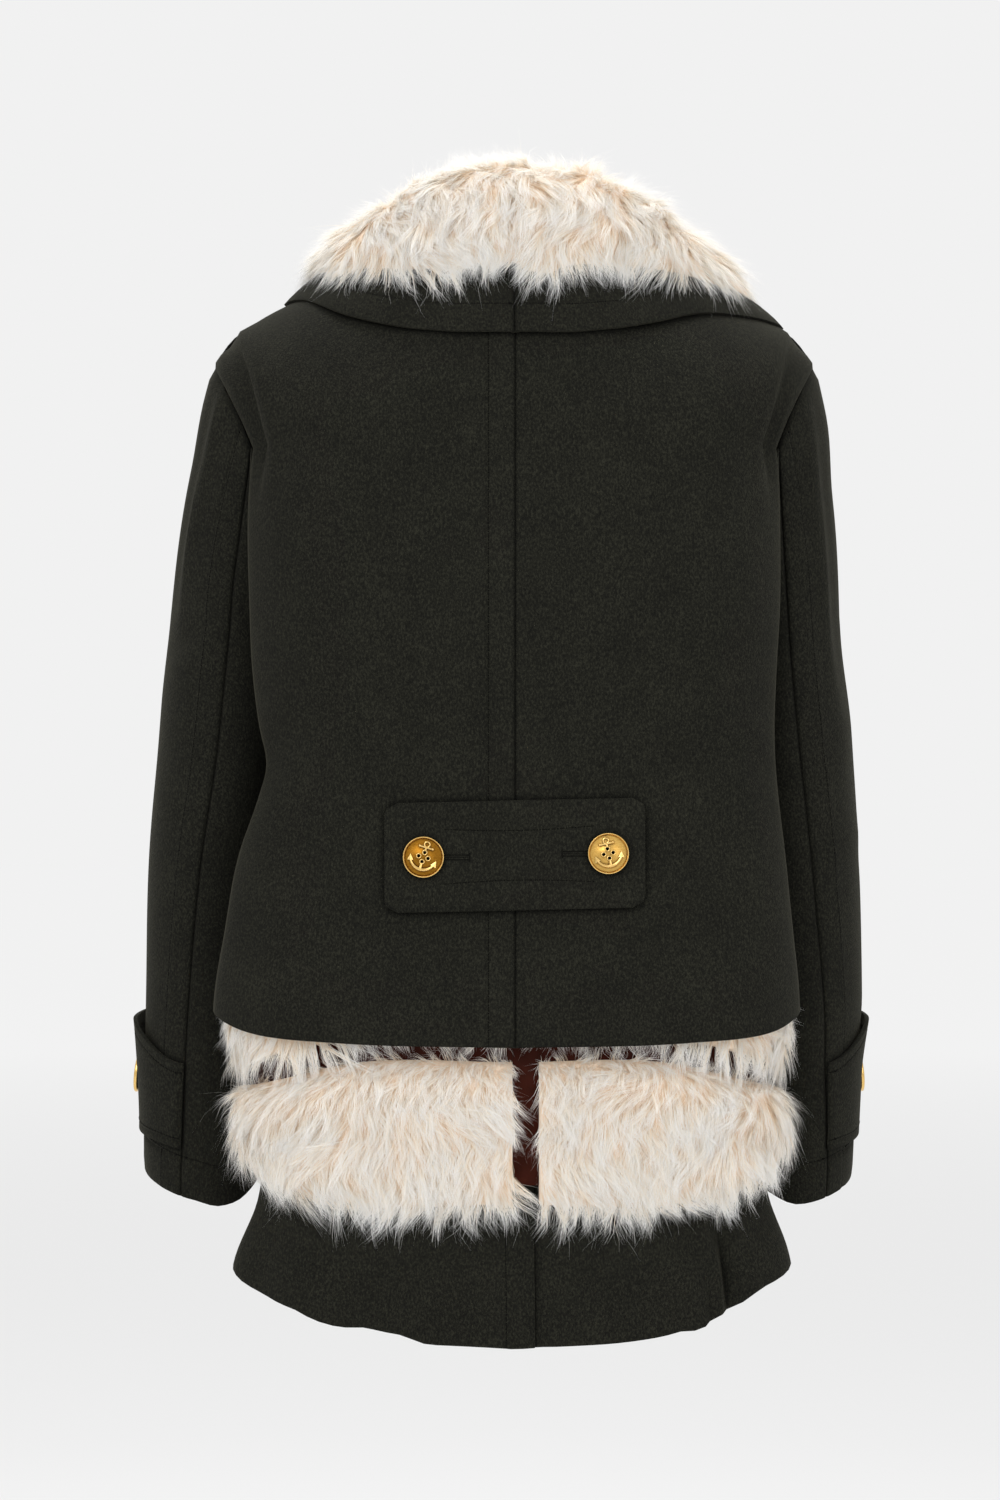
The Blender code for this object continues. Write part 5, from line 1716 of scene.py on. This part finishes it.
def buttonholePiece(name, x, z):
    toMiddle = -math.copysign(1, x)
    near = x + toMiddle * buttonhole["start"]
    far = x + toMiddle * buttonhole["end"]
    work = bmesh.new()
    for drop in (-buttonhole["apart"], buttonhole["apart"]):
        capsule(work, *[onTab(at, z + drop, buttonhole["proud"]) for at in (near, far)], buttonhole["cord"])
    barEnds = [onTab(far, z + drop, buttonhole["proud"]) for drop in (-buttonhole["bar"], buttonhole["bar"])]
    capsule(work, *barEnds, buttonhole["cord"] * 1.2)
    threadFaces = len(work.faces)
    slitEnds = [onTab(at, z, -buttonhole["slit"] * 0.85) for at in (near, far - toMiddle)]
    capsule(work, *slitEnds, buttonhole["slit"])
    work.faces.ensure_lookup_table()
    for face in work.faces[threadFaces:]:
        face.material_index = 1
    bmesh.ops.scale(work, verts=work.verts, vec=(0.001, 0.001, 0.001))
    addPiece(name, toMesh(work, name), ["thread", "hole"])


tabButtons = {-1: {"x": -62.8, "z": -396.0, "turn": -17}, 1: {"x": 63.8, "z": -393.5, "turn": 12}}
cuffButton = {"along": 0.7, "up": 0.5, "clear": 0.9, "turn": 30}
frontButtons = {"x": 8.0, "z": (-130, -225, -320, -415), "turn": 8}
for side, spot in tabButtons.items():
    x = spot["x"]
    z = spot["z"]
    normal = formNormal(side, placeAt(side, x, z), z)
    # The right button takes the lighter copy of the field brass, a painted highlight
    field = "field" if side < 0 else "paintedLitField"
    ending = sides[side].title()
    name = f"tabButton{ending}"
    buttonPiece(name, f"back_button_{sides[side]}", onTab(x, z, gap), normal, spot["turn"], field)
    buttonholePiece(f"buttonhole{ending}", x, z)
for side, nodeSide in sides.items():
    outs = (strap["lift"] + strap["thick"] + cuffButton["clear"], 0.0)
    points = [strapPoint(side, cuffButton["along"], cuffButton["up"], np.array(out)) for out in outs]
    centre, inner = [settled(point, coatMoves) for point in points]
    name = f"cuffButton{nodeSide.title()}"
    buttonPiece(name, f"cuff_button_{nodeSide}", centre, unit(centre - inner), cuffButton["turn"] * side)
for number, z in enumerate(frontButtons["z"]):
    place = placeAt(1, frontButtons["x"], z, True)
    normal = formNormal(1, place, z)
    centre = formPoint(1, place, z) + normal * (wall + lapGap + 2 * gap)
    name = f"frontButton{number + 1}"
    buttonPiece(name, f"front_button_{number + 1}", centre, normal, frontButtons["turn"] * number)
print("buttons made")

# Studio: pale floor well under the coat, soft light from all round and a broad light from behind the camera
studio = {"floorZ": -1.4, "floorRadius": 30, "pale": "#f1f1f1", "nearFloor": 3.0, "farFloor": 10.0}
lights = {
    "keyLight": {"place": (-1.3, -2.6, 1.5), "size": (1.8, 1.8), "power": 33.0},
    "fillLight": {"place": (1.8, -2.2, 0.4), "size": (1.4, 2.0), "power": 12.0},
    "topLight": {"place": (0.1, 0.2, 2.3), "size": (1.6, 1.2), "power": 42.0},
}
camera = {"place": (-0.0104, -2.5, -0.322), "tilt": 90, "sensor": 36, "lens": 83.3}
coatMiddle = Vector((0, 0, -0.33))


# An object that only the studio uses
def addToStudio(name, data, place):
    made = bpy.data.objects.new(name, data)
    bpy.context.scene.collection.objects.link(made)
    made.location = place
    return made


work = bmesh.new()
bmesh.ops.create_circle(work, cap_ends=True, segments=64, radius=studio["floorRadius"])
# The floor's colour is painted shade: darker near the coat, where the lamps light it, and full white far off
# to meet the sky evenly
floorPaint, floorTree, floorShader, floorPlace = newMaterial("palePaint")
away = addNode(floorTree, "VectorMath", {"operation": "LENGTH", 0: floorPlace}, "Value")
span = {"From Min": studio["nearFloor"], "From Max": studio["farFloor"], "Value": away}
floorPaintedShade = addNode(floorTree, "ValToRGB", {"Fac": addNode(floorTree, "MapRange", span)})
setRamp(floorPaintedShade, [(0.0, "#ebebeb"), (1.0, "#ffffff")])
setNode(floorShader, {"Base Color": floorPaintedShade, "Roughness": 1.0, "Specular IOR Level": 0.0})
floor = addToStudio("floor", toMesh(work, "floor"), (0, 0, studio["floorZ"]))
floor.data.materials.append(floorPaint)

world = bpy.data.worlds.new("studio")
bpy.context.scene.world = world
world.use_nodes = True
setNode(world.node_tree.nodes["Background"], {"Color": fromHex(studio["pale"]), "Strength": 1.0})
for name, light in lights.items():
    lamp = bpy.data.lights.new(name, "AREA")
    lamp.shape = "RECTANGLE"
    lamp.size, lamp.size_y = light["size"]
    lamp.energy = light["power"]
    made = addToStudio(name, lamp, light["place"])
    made.rotation_euler = (coatMiddle - Vector(light["place"])).to_track_quat("-Z", "Y").to_euler()

lens = bpy.data.cameras.new("camera")
lens.sensor_width = camera["sensor"]
lens.lens = camera["lens"]
cameraObject = addToStudio("camera", lens, camera["place"])
cameraObject.rotation_euler = (math.radians(camera["tilt"]), 0, 0)
bpy.context.scene.camera = cameraObject
bpy.context.scene.view_settings.view_transform = "Standard"
print("studio made")
